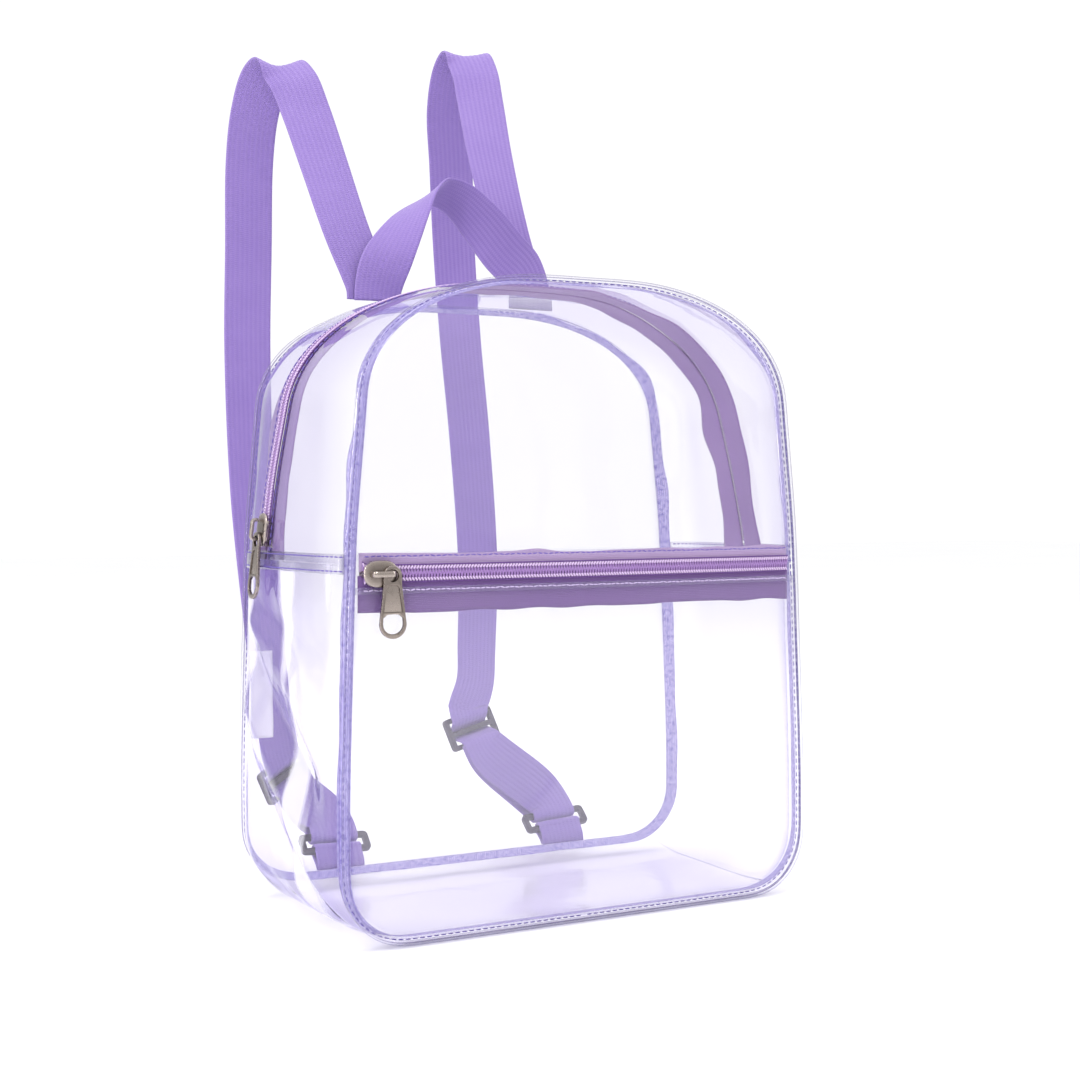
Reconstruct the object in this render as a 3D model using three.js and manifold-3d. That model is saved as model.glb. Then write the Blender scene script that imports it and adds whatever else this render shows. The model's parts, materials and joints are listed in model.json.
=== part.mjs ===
// Clear film backpack with two webbing shoulder straps, a front zipped pocket and a zipped gusset.
// Millimetres. X runs across the front, +Y towards the straps, Z up, the middle of the base at the origin.
import * as THREE from "three";
import Module from "manifold-3d";
import * as BufferGeometryUtils from "three/addons/utils/BufferGeometryUtils.js";

const wasm = await Module();
wasm.setup();

// Body
const bagWidth = 241.3;
const bagHeight = 292.1;
const bagDepth = 127;
const filmWall = 1.0;
const layerGap = 0.3;
const cornerRadius = 27;
const shoulderUp = 0.8;
const shoulderNarrow = 0.921;
const archPower = 2.15;
const topFlat = 34;
const backGrow = 0.035;
const backShift = 2;
const backRise = 5;
const sideBulge = 8;
const topBulge = 4;
const frontDome = 4;
const backDome = 2.5;

// Seams
const weltReach = 2.5;
const weltDeep = 3.6;
const weltForward = 1.0;
const bindingWide = 8;
const bindingThick = 0.8;
const seamUp = 164.5;
const bandTall = 8.5;

// Zippers
const coilWide = 7.4;
const coilThick = 2.2;
const tapeThick = 0.8;
const tapeWide = 13;
const slitWide = 10.4;
const pocketCoilUp = 160.6;
const pocketUpperTape = 4.6;
const pocketUpperLap = 2.4;
const pocketLowerLip = 1.8;
const dividerBack = 4.4;
const dividerRecess = 4.4;
const dividerLip = 1.5;
const dividerRamp = 25;

// Slider and pull
const sliderLong = 15.6;
const sliderWide = 11.6;
const plateThick = 1.6;
const crownWide = 2.6;
const crownLeg = 2;
const crownLong = 11;
const crownRoom = 2.4;
const crownThick = 1.6;
const pullLong = 31;
const pullHead = 8.4;
const pullTail = 12.4;
const pullThick = 1.5;
const pullRim = 1.5;
const pocketSliderIn = 10.8;
const mainSliderUp = 178;
const postLong = 3;

// Webbing and its fittings
const webWide = 25;
const webThick = 1.4;
const strapReach = 90;
const tabSpread = 128;
const handleSpread = 87;
const handleRise = 58;
const strapOffset = -5;
const fitBar = 2.8;
const fitThick = 2.4;
const fitSide = 0.8;
const ringSide = 3.2;
const glideSlot = 4.6;
const ringSlot = 5.4;
const ringLean = -45;
const glideWave = 3.4;

// Label
const labelWide = 11;
const labelLong = 42;
const labelThick = 0.6;
const labelUp = 120;

const colours = {
  film: { color: 0xf3f1fb, roughness: 0.12, metalness: 0, opacity: 0.3 },
  binding: { color: 0xc9c1ea, roughness: 0.5, metalness: 0, opacity: 0.8 },
  tape: { color: 0xa387b8, roughness: 0.8, metalness: 0, opacity: 1 },
  paleTape: { color: 0xbca5cd, roughness: 0.8, metalness: 0, opacity: 1 },
  coil: { color: 0x9a78b4, roughness: 0.4, metalness: 0, opacity: 1 },
  webbing: { color: 0xa48cd1, roughness: 0.85, metalness: 0, opacity: 1 },
  metal: { color: 0x8f837b, roughness: 0.32, metalness: 1, opacity: 1 },
  plastic: { color: 0x4a4650, roughness: 0.45, metalness: 0, opacity: 1 },
  label: { color: 0xf4f3f6, roughness: 0.7, metalness: 0, opacity: 1 },
};

// Sizes that follow from those above
const halfWidth = bagWidth / 2 - weltReach - layerGap;
const standOff = weltReach + layerGap * 2;
const outlineTop = bagHeight - weltReach - layerGap;
const halfDepth = bagDepth / 2;
const frontSeam = -halfDepth + filmWall + layerGap;
const backSeam = halfDepth - filmWall - layerGap;
const slitHalf = slitWide / 2;
const coilHalf = coilWide / 2;

// Outline of the body, its right half, from the flat of the base up to the flat of the top
const sideShape = [
  { up: 0.15, half: 1.0 },
  { up: 0.2, half: 1.0 },
  { up: 0.26, half: 0.997 },
  { up: 0.32, half: 0.992 },
  { up: 0.38, half: 0.987 },
  { up: 0.445, half: 0.981 },
  { up: 0.5, half: 0.977 },
  { up: 0.61, half: 0.965 },
  { up: 0.655, half: 0.956 },
  { up: 0.73, half: 0.938 },
];
const cornerSteps = 6;
const archSteps = 9;
const cornerSeamStep = 2;

function rightOutline() {
  const points = [];
  for (let i = 0; i <= cornerSteps; i += 1) {
    const a = (i / cornerSteps) * Math.PI / 2;
    points.push({
      half: halfWidth - cornerRadius + cornerRadius * Math.sin(a),
      up: standOff + cornerRadius * (1 - Math.cos(a)),
    });
  }
  for (const row of sideShape) {
    points.push({ half: halfWidth * row.half, up: row.up * bagHeight });
  }
  const shoulderHalf = halfWidth * shoulderNarrow;
  const shoulderZ = shoulderUp * bagHeight;
  for (let i = 0; i <= archSteps; i += 1) {
    const a = (i / archSteps) * Math.PI / 2;
    points.push({
      half: topFlat / 2 + (shoulderHalf - topFlat / 2) * Math.pow(Math.cos(a), 2 / archPower),
      up: shoulderZ + (outlineTop - shoulderZ) * Math.pow(Math.sin(a), 2 / archPower),
    });
  }
  points[points.length - 1].half = topFlat / 2;
  return points.sort((a, b) => a.up - b.up);
}

function withNormals(points) {
  return points.map((p, i) => {
    const before = i === 0 ? { half: p.half - 1, up: p.up } : points[i - 1];
    const after = i === points.length - 1 ? { half: p.half - 1, up: p.up } : points[i + 1];
    const run = new THREE.Vector2(after.half - before.half, after.up - before.up).normalize();
    return { half: p.half, up: p.up, nx: run.y, nz: -run.x };
  });
}

const outline = withNormals(rightOutline());

function outlineAt(up) {
  let i = 1;
  while (i < outline.length - 1 && outline[i].up < up) i += 1;
  const a = outline[i - 1];
  const b = outline[i];
  const f = (up - a.up) / (b.up - a.up);
  const mix = (key) => a[key] + (b[key] - a[key]) * f;
  return { half: mix("half"), up, nx: mix("nx"), nz: mix("nz") };
}

function outlineBetween(low, high) {
  const rows = outline.filter((p) => p.up > low + 0.5 && p.up < high - 0.5);
  return [outlineAt(low), ...rows, outlineAt(high)];
}

// Puffed depth profile, as a share of the bulge, over the share of the depth from front to back
const puff = [
  { at: 0, out: 0 },
  { at: 0.1, out: 0.62 },
  { at: 0.25, out: 1 },
  { at: 0.5, out: 1 },
  { at: 0.75, out: 1 },
  { at: 0.9, out: 0.62 },
  { at: 1, out: 0 },
];
const liftShares = [
  { at: 0, out: 0 },
  { at: 0.75, out: 0 },
  { at: 0.9, out: 0.45 },
  { at: 1, out: 1 },
];

function readTable(table, at) {
  let i = 1;
  while (i < table.length - 1 && table[i].at < at) i += 1;
  const a = table[i - 1];
  const b = table[i];
  return a.out + (b.out - a.out) * (at - a.at) / (b.at - a.at);
}

function depthShare(y) {
  return (y - frontSeam) / (backSeam - frontSeam);
}

// A point of the gusset: an outline point, its side, its depth and how far it lies outside the film's face
function gussetPoint(p, side, y, lift, fold = 0) {
  const t = depthShare(y);
  const facing = p.nz < 0 ? standOff : topBulge;
  const bulge = (sideBulge + (facing - sideBulge) * Math.abs(p.nz)) * readTable(puff, t);
  const out = bulge + lift + fold;
  const low = Math.max(0, 1 - p.up / (cornerRadius * 2));
  const x = side * (p.half * (1 + backGrow * t) + out * p.nx) + backShift * t;
  const z = p.up + out * p.nz + backRise * low * readTable(liftShares, t);
  return new THREE.Vector3(x, y, z);
}

function meshFrom(name, geometry, look) {
  const tone = colours[look];
  const material = new THREE.MeshStandardMaterial({
    color: tone.color,
    roughness: tone.roughness,
    metalness: tone.metalness,
    transparent: tone.opacity < 1,
    opacity: tone.opacity,
  });
  const mesh = new THREE.Mesh(geometry, material);
  mesh.name = name;
  return mesh;
}

// A closed solid between two rails of points, row after row
function railSolid(rows, closed = false) {
  const positions = [];
  const index = [];
  const wide = rows[0].outer.length;
  for (const row of rows) {
    for (const p of [...row.outer, ...row.inner]) positions.push(p.x, p.y, p.z);
  }
  const at = (i, j) => (i % rows.length) * 2 * wide + j;
  const quad = (a, b, c, d) => index.push(a, b, c, a, c, d);
  const last = closed ? rows.length : rows.length - 1;
  for (let i = 0; i < last; i += 1) {
    for (let j = 0; j < wide - 1; j += 1) {
      quad(at(i, j), at(i, j + 1), at(i + 1, j + 1), at(i + 1, j));
      quad(at(i, wide + j), at(i + 1, wide + j), at(i + 1, wide + j + 1), at(i, wide + j + 1));
    }
    quad(at(i, 0), at(i + 1, 0), at(i + 1, wide), at(i, wide));
    quad(at(i, wide - 1), at(i, 2 * wide - 1), at(i + 1, 2 * wide - 1), at(i + 1, wide - 1));
  }
  if (!closed) {
    for (let j = 0; j < wide - 1; j += 1) {
      quad(at(0, j), at(0, wide + j), at(0, wide + j + 1), at(0, j + 1));
      quad(at(last, j), at(last, j + 1), at(last, wide + j + 1), at(last, wide + j));
    }
  }
  const geometry = new THREE.BufferGeometry();
  geometry.setAttribute("position", new THREE.Float32BufferAttribute(positions, 3));
  geometry.setIndex(signedVolume(positions, index) < 0 ? index.reverse() : index);
  geometry.computeVertexNormals();
  return geometry;
}

function signedVolume(positions, index) {
  const v = (i) => new THREE.Vector3(positions[3 * i], positions[3 * i + 1], positions[3 * i + 2]);
  let sum = 0;
  for (let i = 0; i < index.length; i += 3) {
    sum += v(index[i]).dot(v(index[i + 1]).cross(v(index[i + 2])));
  }
  return sum;
}

function toManifold(geometry) {
  const bare = geometry.clone();
  bare.deleteAttribute("normal");
  bare.deleteAttribute("uv");
  const merged = BufferGeometryUtils.mergeVertices(bare, 1e-4);
  return new wasm.Manifold(new wasm.Mesh({
    numProp: 3,
    vertProperties: new Float32Array(merged.attributes.position.array),
    triVerts: new Uint32Array(merged.index.array),
  }));
}

function fromManifold(solid) {
  const mesh = solid.getMesh();
  const geometry = new THREE.BufferGeometry();
  geometry.setAttribute("position", new THREE.Float32BufferAttribute(mesh.vertProperties, 3));
  geometry.setIndex(Array.from(mesh.triVerts));
  geometry.computeVertexNormals();
  return geometry;
}

// Panels

const panelColumns = [-1, -0.85, -0.6, -0.3, 0, 0.3, 0.6, 0.85, 1];

function domeShare(u, up) {
  const v = (2 * up - bagHeight) / bagHeight;
  return Math.max(0, 1 - u * u) * Math.max(0, 1 - v * v);
}

function frontFace(u, up) {
  return -halfDepth - frontDome * domeShare(u, up);
}

function frontSheet(low, high, depth, thick, edgeIn) {
  const rows = outlineBetween(low, high).map((p) => {
    const row = { outer: [], inner: [] };
    for (const u of panelColumns) {
      const x = u * (p.half - edgeIn);
      const y = frontFace(u, p.up) + depth;
      row.outer.push(new THREE.Vector3(x, y, p.up));
      row.inner.push(new THREE.Vector3(x, y + thick, p.up));
    }
    return row;
  });
  return railSolid(rows);
}

function backSheet() {
  const grow = 1 + backGrow;
  const rows = outline.map((p) => {
    const row = { outer: [], inner: [] };
    const up = gussetPoint(p, 1, backSeam, 0).z;
    for (const u of panelColumns) {
      const x = backShift + u * p.half * grow;
      const y = halfDepth + backDome * domeShare(u, p.up);
      row.outer.push(new THREE.Vector3(x, y, up));
      row.inner.push(new THREE.Vector3(x, y - filmWall, up));
    }
    return row;
  });
  return railSolid(rows);
}

const dividerTop = pocketCoilUp + coilHalf + layerGap + pocketUpperTape;

function dividerSheet() {
  const edgeIn = filmWall + bindingThick + layerGap * 2;
  const low = standOff + edgeIn;
  const inset = (p) => ({ ...p, half: p.half - edgeIn * p.nx, up: p.up - edgeIn * p.nz });
  const points = outline.map(inset).filter((p) => p.up < dividerTop - dividerLip - 1);
  points.push(inset(outlineAt(dividerTop - dividerLip)), inset(outlineAt(dividerTop)));
  const rows = points.map((p, i) => {
    const row = { outer: [], inner: [] };
    const sewn = i === 0 || i === points.length - 1;
    const rise = Math.min(1, (p.up - low) / dividerRamp);
    for (const u of panelColumns) {
      const deep = sewn ? edgeIn : dividerBack + dividerRecess * rise * (1 - Math.abs(u) ** 5);
      const y = frontFace(u, p.up) + deep;
      row.outer.push(new THREE.Vector3(u * p.half, y, p.up));
      row.inner.push(new THREE.Vector3(u * p.half, y + filmWall, p.up));
    }
    return row;
  });
  return railSolid(rows);
}

// Gusset, its seams and its zipper

const gussetColumns = [0, 0.1, 0.25, 0.5, 0.75, 0.9, 1];
const foldColumns = [0, 0.1, 0.17, 0.25, 0.34, 0.42, 0.5, 0.58, 0.66, 0.75, 0.83, 0.9, 1];

// Creases of the lower left side: where each crosses mid depth, its lean, half width and depth
const sideFolds = [
  { up: 0.47, lean: -0.1, wide: 0.03, deep: -0.2 },
  { up: 0.4, lean: -0.22, wide: 0.035, deep: 0.28 },
  { up: 0.32, lean: -0.3, wide: 0.04, deep: -0.42 },
  { up: 0.23, lean: -0.34, wide: 0.035, deep: 0.3 },
  { up: 0.15, lean: -0.3, wide: 0.03, deep: -0.34 },
];

function foldAt(up, t) {
  const edge = Math.min(t - 0.1, 0.9 - t);
  if (edge <= 0) return 0;
  const fade = Math.min(1, edge / 0.12) * Math.min(1, Math.max(0, (seamUp - bandTall - up) / 20));
  let sum = 0;
  for (const fold of sideFolds) {
    const away = (up / bagHeight - fold.up - fold.lean * (0.5 - t)) / fold.wide;
    sum += fold.deep * sideBulge * Math.exp(-away * away);
  }
  return sum * fade;
}

function gussetRow(p, side, depths, lift, thick, folded = false) {
  const row = { outer: [], inner: [] };
  for (const y of depths) {
    const fold = folded ? foldAt(p.up, depthShare(y)) : 0;
    row.outer.push(gussetPoint(p, side, y, lift, fold));
    row.inner.push(gussetPoint(p, side, y, lift - thick, fold));
  }
  return row;
}

function depthsOf(shares) {
  return shares.map((t) => frontSeam + t * (backSeam - frontSeam));
}

const seamGapPoints = outline[cornerSeamStep];

function shifted(p, along) {
  return { ...p, half: p.half + along * p.nz * -1, up: p.up + along * p.nx };
}

function sideGusset(side, shares, folded) {
  const depths = depthsOf(shares);
  const low = shifted(seamGapPoints, layerGap / 2);
  const points = [low, ...outline.filter((p) => p.up > seamGapPoints.up + 0.1 && p.up < seamUp - 1)];
  points.push(outlineAt(seamUp - layerGap / 2));
  return railSolid(points.map((p) => gussetRow(p, side, depths, 0, filmWall, folded)));
}

function bottomGusset() {
  const depths = depthsOf(gussetColumns);
  const corner = outline.slice(0, cornerSeamStep);
  corner.push(shifted(seamGapPoints, -layerGap / 2));
  const rows = [];
  for (const p of [...corner].reverse()) rows.push(gussetRow(p, -1, depths, 0, filmWall));
  for (const p of corner) rows.push(gussetRow(p, 1, depths, 0, filmWall));
  return railSolid(rows);
}

// Where the zipper's coil runs, over the arch from the left seam to the right one
const coilRoute = [
  { at: 0, out: 0.36 },
  { at: 0.1, out: 0.3 },
  { at: 0.2, out: 0.12 },
  { at: 0.3, out: -0.08 },
  { at: 0.4, out: -0.18 },
  { at: 0.5, out: -0.18 },
  { at: 0.6, out: -0.06 },
  { at: 0.7, out: 0.12 },
  { at: 0.78, out: 0.12 },
  { at: 0.88, out: -0.06 },
  { at: 1, out: -0.2 },
];

function archRows() {
  const half = [outlineAt(seamUp + layerGap / 2), ...outline.filter((p) => p.up > seamUp + 1)];
  const rows = half.map((p) => ({ p, side: -1 }));
  rows.push(...[...half].reverse().map((p) => ({ p, side: 1 })));
  let run = 0;
  return rows.map((row, i) => {
    if (i > 0) {
      const before = rows[i - 1];
      const across = row.side * row.p.half - before.side * before.p.half;
      run += Math.hypot(across, row.p.up - before.p.up);
    }
    return { ...row, run };
  });
}

const arch = archRows();
const archLength = arch[arch.length - 1].run;

function coilDepth(row) {
  return halfDepth * readTable(coilRoute, row.run / archLength);
}

function archStrip(depthsFor, lift, thick, rows = arch) {
  return railSolid(rows.map((row) => gussetRow(row.p, row.side, depthsFor(row), lift, thick)));
}

function upperStrip(isFront) {
  const shares = isFront ? [0, 0.1, 0.25] : [0.75, 0.9, 1];
  const fixed = depthsOf(shares);
  return archStrip((row) => {
    const edge = coilDepth(row) + (isFront ? -slitHalf : slitHalf);
    return isFront ? [...fixed, edge] : [edge, ...fixed];
  }, 0, filmWall);
}

const tapeLift = -filmWall - layerGap;
// Ruffles of the tape's free edge, as shares of its width, one after another along the arch
const tapeRuffle = [0, 0.16, -0.06, 0.2, 0.02, 0.14, -0.08, 0.12];

function mainTape(isFront) {
  const sign = isFront ? -1 : 1;
  return archStrip((row) => {
    const i = arch.indexOf(row);
    const inner = coilDepth(row) + sign * (coilHalf + layerGap);
    const free = inner + sign * tapeWide * (1 + tapeRuffle[i % tapeRuffle.length]);
    return isFront ? [free, inner] : [inner, free];
  }, tapeLift, tapeThick);
}

const mainPost = outlineAt(mainSliderUp - sliderLong / 2 + postLong + layerGap * 2);

function mainCoil() {
  const stop = outlineAt(seamUp + bandTall / 2 + layerGap);
  const rows = arch.filter((row) => row.p.up > (row.side > 0 ? stop.up : mainPost.up) + 1);
  const first = { p: mainPost, side: -1, run: mainPost.up - seamUp };
  const last = { p: stop, side: 1, run: archLength - stop.up + seamUp };
  return archStrip((row) => {
    const y = coilDepth(row);
    return [y - coilHalf, y + coilHalf];
  }, coilThick - filmWall - layerGap * 2, coilThick, [first, ...rows, last]);
}

function hoop(y0, y1, lift, thick) {
  const rows = [];
  for (const p of outline) rows.push(gussetRow(p, 1, [y0, y1], lift, thick));
  for (const p of [...outline].reverse()) rows.push(gussetRow(p, -1, [y0, y1], lift, thick));
  return railSolid(rows, true);
}

function welt(isFront) {
  const rows = [];
  const seam = isFront ? frontSeam : backSeam;
  const face = isFront ? -halfDepth - weltForward : halfDepth + weltForward;
  const far = isFront ? face + weltDeep : face - weltDeep;
  const clear = layerGap + readTable(puff, Math.abs(far - seam) / (backSeam - frontSeam)) * sideBulge;
  const section = (p, side) => {
    const inside = gussetPoint(p, side, seam, layerGap);
    const outside = gussetPoint(p, side, seam, layerGap + weltReach);
    const raised = gussetPoint(p, side, seam, Math.min(clear, weltReach) + layerGap);
    return {
      outer: [inside.clone().setY(face), outside.clone().setY(face), outside.clone().setY(far)],
      inner: [inside.clone().setY(seam), raised.clone().setY((seam + far) / 2), raised.clone().setY(far)],
    };
  };
  for (const p of outline) rows.push(section(p, 1));
  for (const p of [...outline].reverse()) rows.push(section(p, -1));
  return railSolid(rows, true);
}

function crossBand(side) {
  const depths = depthsOf(gussetColumns.slice(1, -1));
  const reach = depthsOf([0.035, 0.965]);
  const all = [reach[0], ...depths, reach[1]];
  const rows = [seamUp - bandTall / 2, seamUp + bandTall / 2].map((up) =>
    gussetRow(outlineAt(up), side, all, layerGap + filmWall, filmWall));
  return railSolid(rows);
}

// Front zipper

const pocketTop = pocketCoilUp - coilHalf - layerGap - pocketLowerLip;
const upperTapeLow = pocketCoilUp + coilHalf + layerGap;
const upperPanelLow = upperTapeLow + pocketUpperTape - pocketUpperLap;
const lowerTapeHigh = pocketCoilUp - coilHalf - layerGap;
const tapeDepth = filmWall + layerGap;
const tapeEdgeIn = filmWall + bindingThick + layerGap * 2;

function frontBand(low, high, depth, thick, from) {
  const rows = [];
  const stations = [from, -0.7, -0.4, -0.1, 0.2, 0.5, 0.75, 1];
  for (const u of stations) {
    const row = { outer: [], inner: [] };
    for (const up of [low, high]) {
      const x = u * (outlineAt(up).half - tapeEdgeIn);
      const y = frontFace(u, up) + depth;
      row.outer.push(new THREE.Vector3(x, y, up));
      row.inner.push(new THREE.Vector3(x, y + thick, up));
    }
    rows.push(row);
  }
  return railSolid(rows);
}

const pocketSliderX = -(outlineAt(pocketCoilUp).half - pocketSliderIn);
const coilDepthFront = -layerGap * 2;

function pocketCoil() {
  const start = pocketSliderX - sliderLong / 2 + postLong + layerGap * 2;
  const from = start / (outlineAt(pocketCoilUp).half - tapeEdgeIn);
  return frontBand(pocketCoilUp - coilHalf, pocketCoilUp + coilHalf, coilDepthFront, coilThick, from);
}

// Slider in its own frame: the coil runs along X, the face is towards -Y, the pull hangs from the right leg
const backPlateY = tapeDepth + tapeThick + layerGap * 2;
const facePlateY = coilDepthFront - layerGap * 2 - plateThick;

function slabSolid(shape, thick, y) {
  const geometry = new THREE.ExtrudeGeometry(shape, { depth: thick, bevelEnabled: false, curveSegments: 5 });
  geometry.rotateX(Math.PI / 2);
  geometry.translate(0, y + thick, 0);
  return geometry;
}

function ovalShape(long, wide) {
  const shape = new THREE.Shape();
  const r = wide / 2;
  const h = long / 2 - r * 0.75;
  shape.moveTo(-h, -r);
  shape.lineTo(h, -r);
  shape.quadraticCurveTo(long / 2, -r, long / 2, 0);
  shape.quadraticCurveTo(long / 2, r, h, r);
  shape.lineTo(-h, r);
  shape.quadraticCurveTo(-long / 2, r, -long / 2, 0);
  shape.quadraticCurveTo(-long / 2, -r, -h, -r);
  return shape;
}

function sliderBody(postSide) {
  const face = toManifold(slabSolid(ovalShape(sliderLong, sliderWide), plateThick, facePlateY));
  const rear = toManifold(slabSolid(ovalShape(sliderLong, sliderWide * 0.86), plateThick * 0.75, backPlateY));
  const post = new THREE.BoxGeometry(postLong, backPlateY - facePlateY, coilWide * 0.4);
  post.translate(postSide * (sliderLong / 2 - postLong / 2 - layerGap),
    (facePlateY + backPlateY + plateThick) / 2, 0);
  const outer = new THREE.Shape();
  const low = -crownLong / 2;
  const high = crownLong / 2;
  const rise = crownRoom + pullThick;
  outer.moveTo(low, 0);
  outer.lineTo(low, rise);
  outer.lineTo(low + crownThick, rise + crownThick);
  outer.lineTo(high - crownThick, rise + crownThick);
  outer.lineTo(high, rise);
  outer.lineTo(high, 0);
  outer.lineTo(high - crownLeg, 0);
  outer.lineTo(high - crownLeg, rise);
  outer.lineTo(low + crownLeg, rise);
  outer.lineTo(low + crownLeg, 0);
  const crown = new THREE.ExtrudeGeometry(outer, { depth: crownWide, bevelEnabled: false });
  crown.translate(0, 0, -crownWide / 2);
  crown.scale(1, -1, 1);
  crown.index = null;
  const flipped = BufferGeometryUtils.mergeVertices(bareCopy(crown), 1e-4);
  flipped.setIndex(Array.from(flipped.index.array).reverse());
  flipped.translate(0, facePlateY + plateThick * 0.25, 0);
  const whole = face.add(rear).add(toManifold(post)).add(toManifold(flipped));
  return fromManifold(whole);
}

function bareCopy(geometry) {
  const copy = geometry.clone();
  copy.deleteAttribute("normal");
  copy.deleteAttribute("uv");
  return copy;
}

const pullPivotX = crownLong / 2 - crownLeg / 2;
const pullY = facePlateY - layerGap - pullThick;
const pullEye = pullHead / 2 - pullRim;
const pullDrop = pullEye - Math.hypot(crownWide / 2, crownLeg / 2) - layerGap;

// Pull in its own frame: the crown's leg passes at the origin, the plate hangs towards -Z
function pullPlate() {
  const shape = new THREE.Shape();
  const eyeUp = -pullDrop;
  const top = eyeUp + pullHead / 2;
  const foot = top - pullLong;
  const h = pullHead / 2;
  const w = pullTail / 2;
  shape.absarc(0, eyeUp, h, 0, Math.PI, false);
  shape.lineTo(-h, eyeUp - h);
  shape.lineTo(-w, foot + w);
  shape.absarc(0, foot + w, w, Math.PI, Math.PI * 2, false);
  shape.lineTo(h, eyeUp - h);
  const eye = new THREE.Path();
  eye.absarc(0, eyeUp, pullEye, 0, Math.PI * 2, false);
  const hole = new THREE.Path();
  const across = w - pullRim;
  hole.absellipse(0, foot + w, across, across * 0.9, 0, Math.PI * 2, false);
  shape.holes.push(eye, hole);
  return slabSolid(shape, pullThick, 0);
}

// Webbing

function ribbonSolid(stations) {
  const rows = stations.map((station, i) => {
    const before = stations[Math.max(0, i - 1)].point;
    const after = stations[Math.min(stations.length - 1, i + 1)].point;
    const along = after.clone().sub(before).normalize();
    const across = station.across.clone().addScaledVector(along, -station.across.dot(along)).normalize();
    const face = along.clone().cross(across).normalize();
    const corner = (u, n) => station.point.clone()
      .addScaledVector(across, u * webWide / 2)
      .addScaledVector(face, n * webThick / 2);
    return { outer: [corner(-1, 1), corner(1, 1)], inner: [corner(-1, -1), corner(1, -1)] };
  });
  return railSolid(rows);
}

function smoothStations(stations, steps) {
  const line = new THREE.CatmullRomCurve3(stations.map((s) => s.point), false, "centripetal");
  const sides = new THREE.CatmullRomCurve3(stations.map((s) => s.across), false, "catmullrom", 0.5);
  const count = (stations.length - 1) * steps;
  const result = [];
  for (let i = 0; i <= count; i += 1) {
    const u = i / count;
    result.push({ point: line.getPoint(u), across: sides.getPoint(u).normalize() });
  }
  return result;
}

// Stations between a and b on a cubic, with the way that each one's face looks
function bridgeStations(a, aDirection, b, bDirection, steps) {
  const result = [];
  for (let i = 1; i < steps; i += 1) {
    const u = i / steps;
    const point = a.point.clone().multiplyScalar(2 * u ** 3 - 3 * u ** 2 + 1)
      .addScaledVector(aDirection, u ** 3 - 2 * u ** 2 + u)
      .addScaledVector(b.point, -2 * u ** 3 + 3 * u ** 2)
      .addScaledVector(bDirection, u ** 3 - u ** 2);
    const along = a.point.clone().multiplyScalar(6 * u ** 2 - 6 * u)
      .addScaledVector(aDirection, 3 * u ** 2 - 4 * u + 1)
      .addScaledVector(b.point, -6 * u ** 2 + 6 * u)
      .addScaledVector(bDirection, 3 * u ** 2 - 2 * u)
      .normalize();
    const across = a.across.clone().lerp(b.across, u).normalize();
    result.push({ point, across, face: along.cross(across).normalize(), share: u });
  }
  return result;
}

// The layer that comes back beside a bridge, at the two distances from it at its ends
function returnStations(bridge, nearStart, nearEnd) {
  return bridge.map((station) => ({
    point: station.point.clone().addScaledVector(station.face, nearStart + (nearEnd - nearStart) * station.share),
    across: station.across,
  })).reverse();
}

function turned(yaw, tilt) {
  const a = THREE.MathUtils.degToRad(yaw);
  const b = THREE.MathUtils.degToRad(tilt);
  return new THREE.Vector3(Math.cos(a) * Math.cos(b), Math.sin(a) * Math.cos(b), Math.sin(b));
}

// Shoulder straps from the top seam over the loop and down behind the bag.
// across is a share of half the bag's width, back of strapReach, up of the bag's height.
// turn is the width's heading in degrees, from +X towards +Y.
const leftStrapTable = [
  { across: -0.43, back: 0, up: 1.0015, turn: 0 },
  { across: -0.43, back: 0, up: 1.01, turn: 0 },
  { across: -0.434, back: 0.004, up: 1.025, turn: 0 },
  { across: -0.452, back: 0.02, up: 1.05, turn: -2 },
  { across: -0.502, back: 0.09, up: 1.12, turn: -6 },
  { across: -0.545, back: 0.28, up: 1.245, turn: -14 },
  { across: -0.585, back: 0.42, up: 1.345, turn: -22 },
  { across: -0.622, back: 0.5, up: 1.405, turn: -25 },
  { across: -0.657, back: 0.6, up: 1.432, turn: -27 },
  { across: -0.69, back: 0.71, up: 1.415, turn: -26 },
  { across: -0.71, back: 0.81, up: 1.36, turn: -22 },
  { across: -0.712, back: 0.9, up: 1.28, turn: -16 },
  { across: -0.708, back: 0.95, up: 1.12, turn: -10 },
  { across: -0.722, back: 0.93, up: 0.94, turn: -6 },
  { across: -0.745, back: 0.78, up: 0.68, turn: 4 },
  { across: -0.775, back: 0.5, up: 0.46, turn: 16 },
  { across: -0.79, back: 0.32, up: 0.32, turn: 24 },
];
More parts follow.
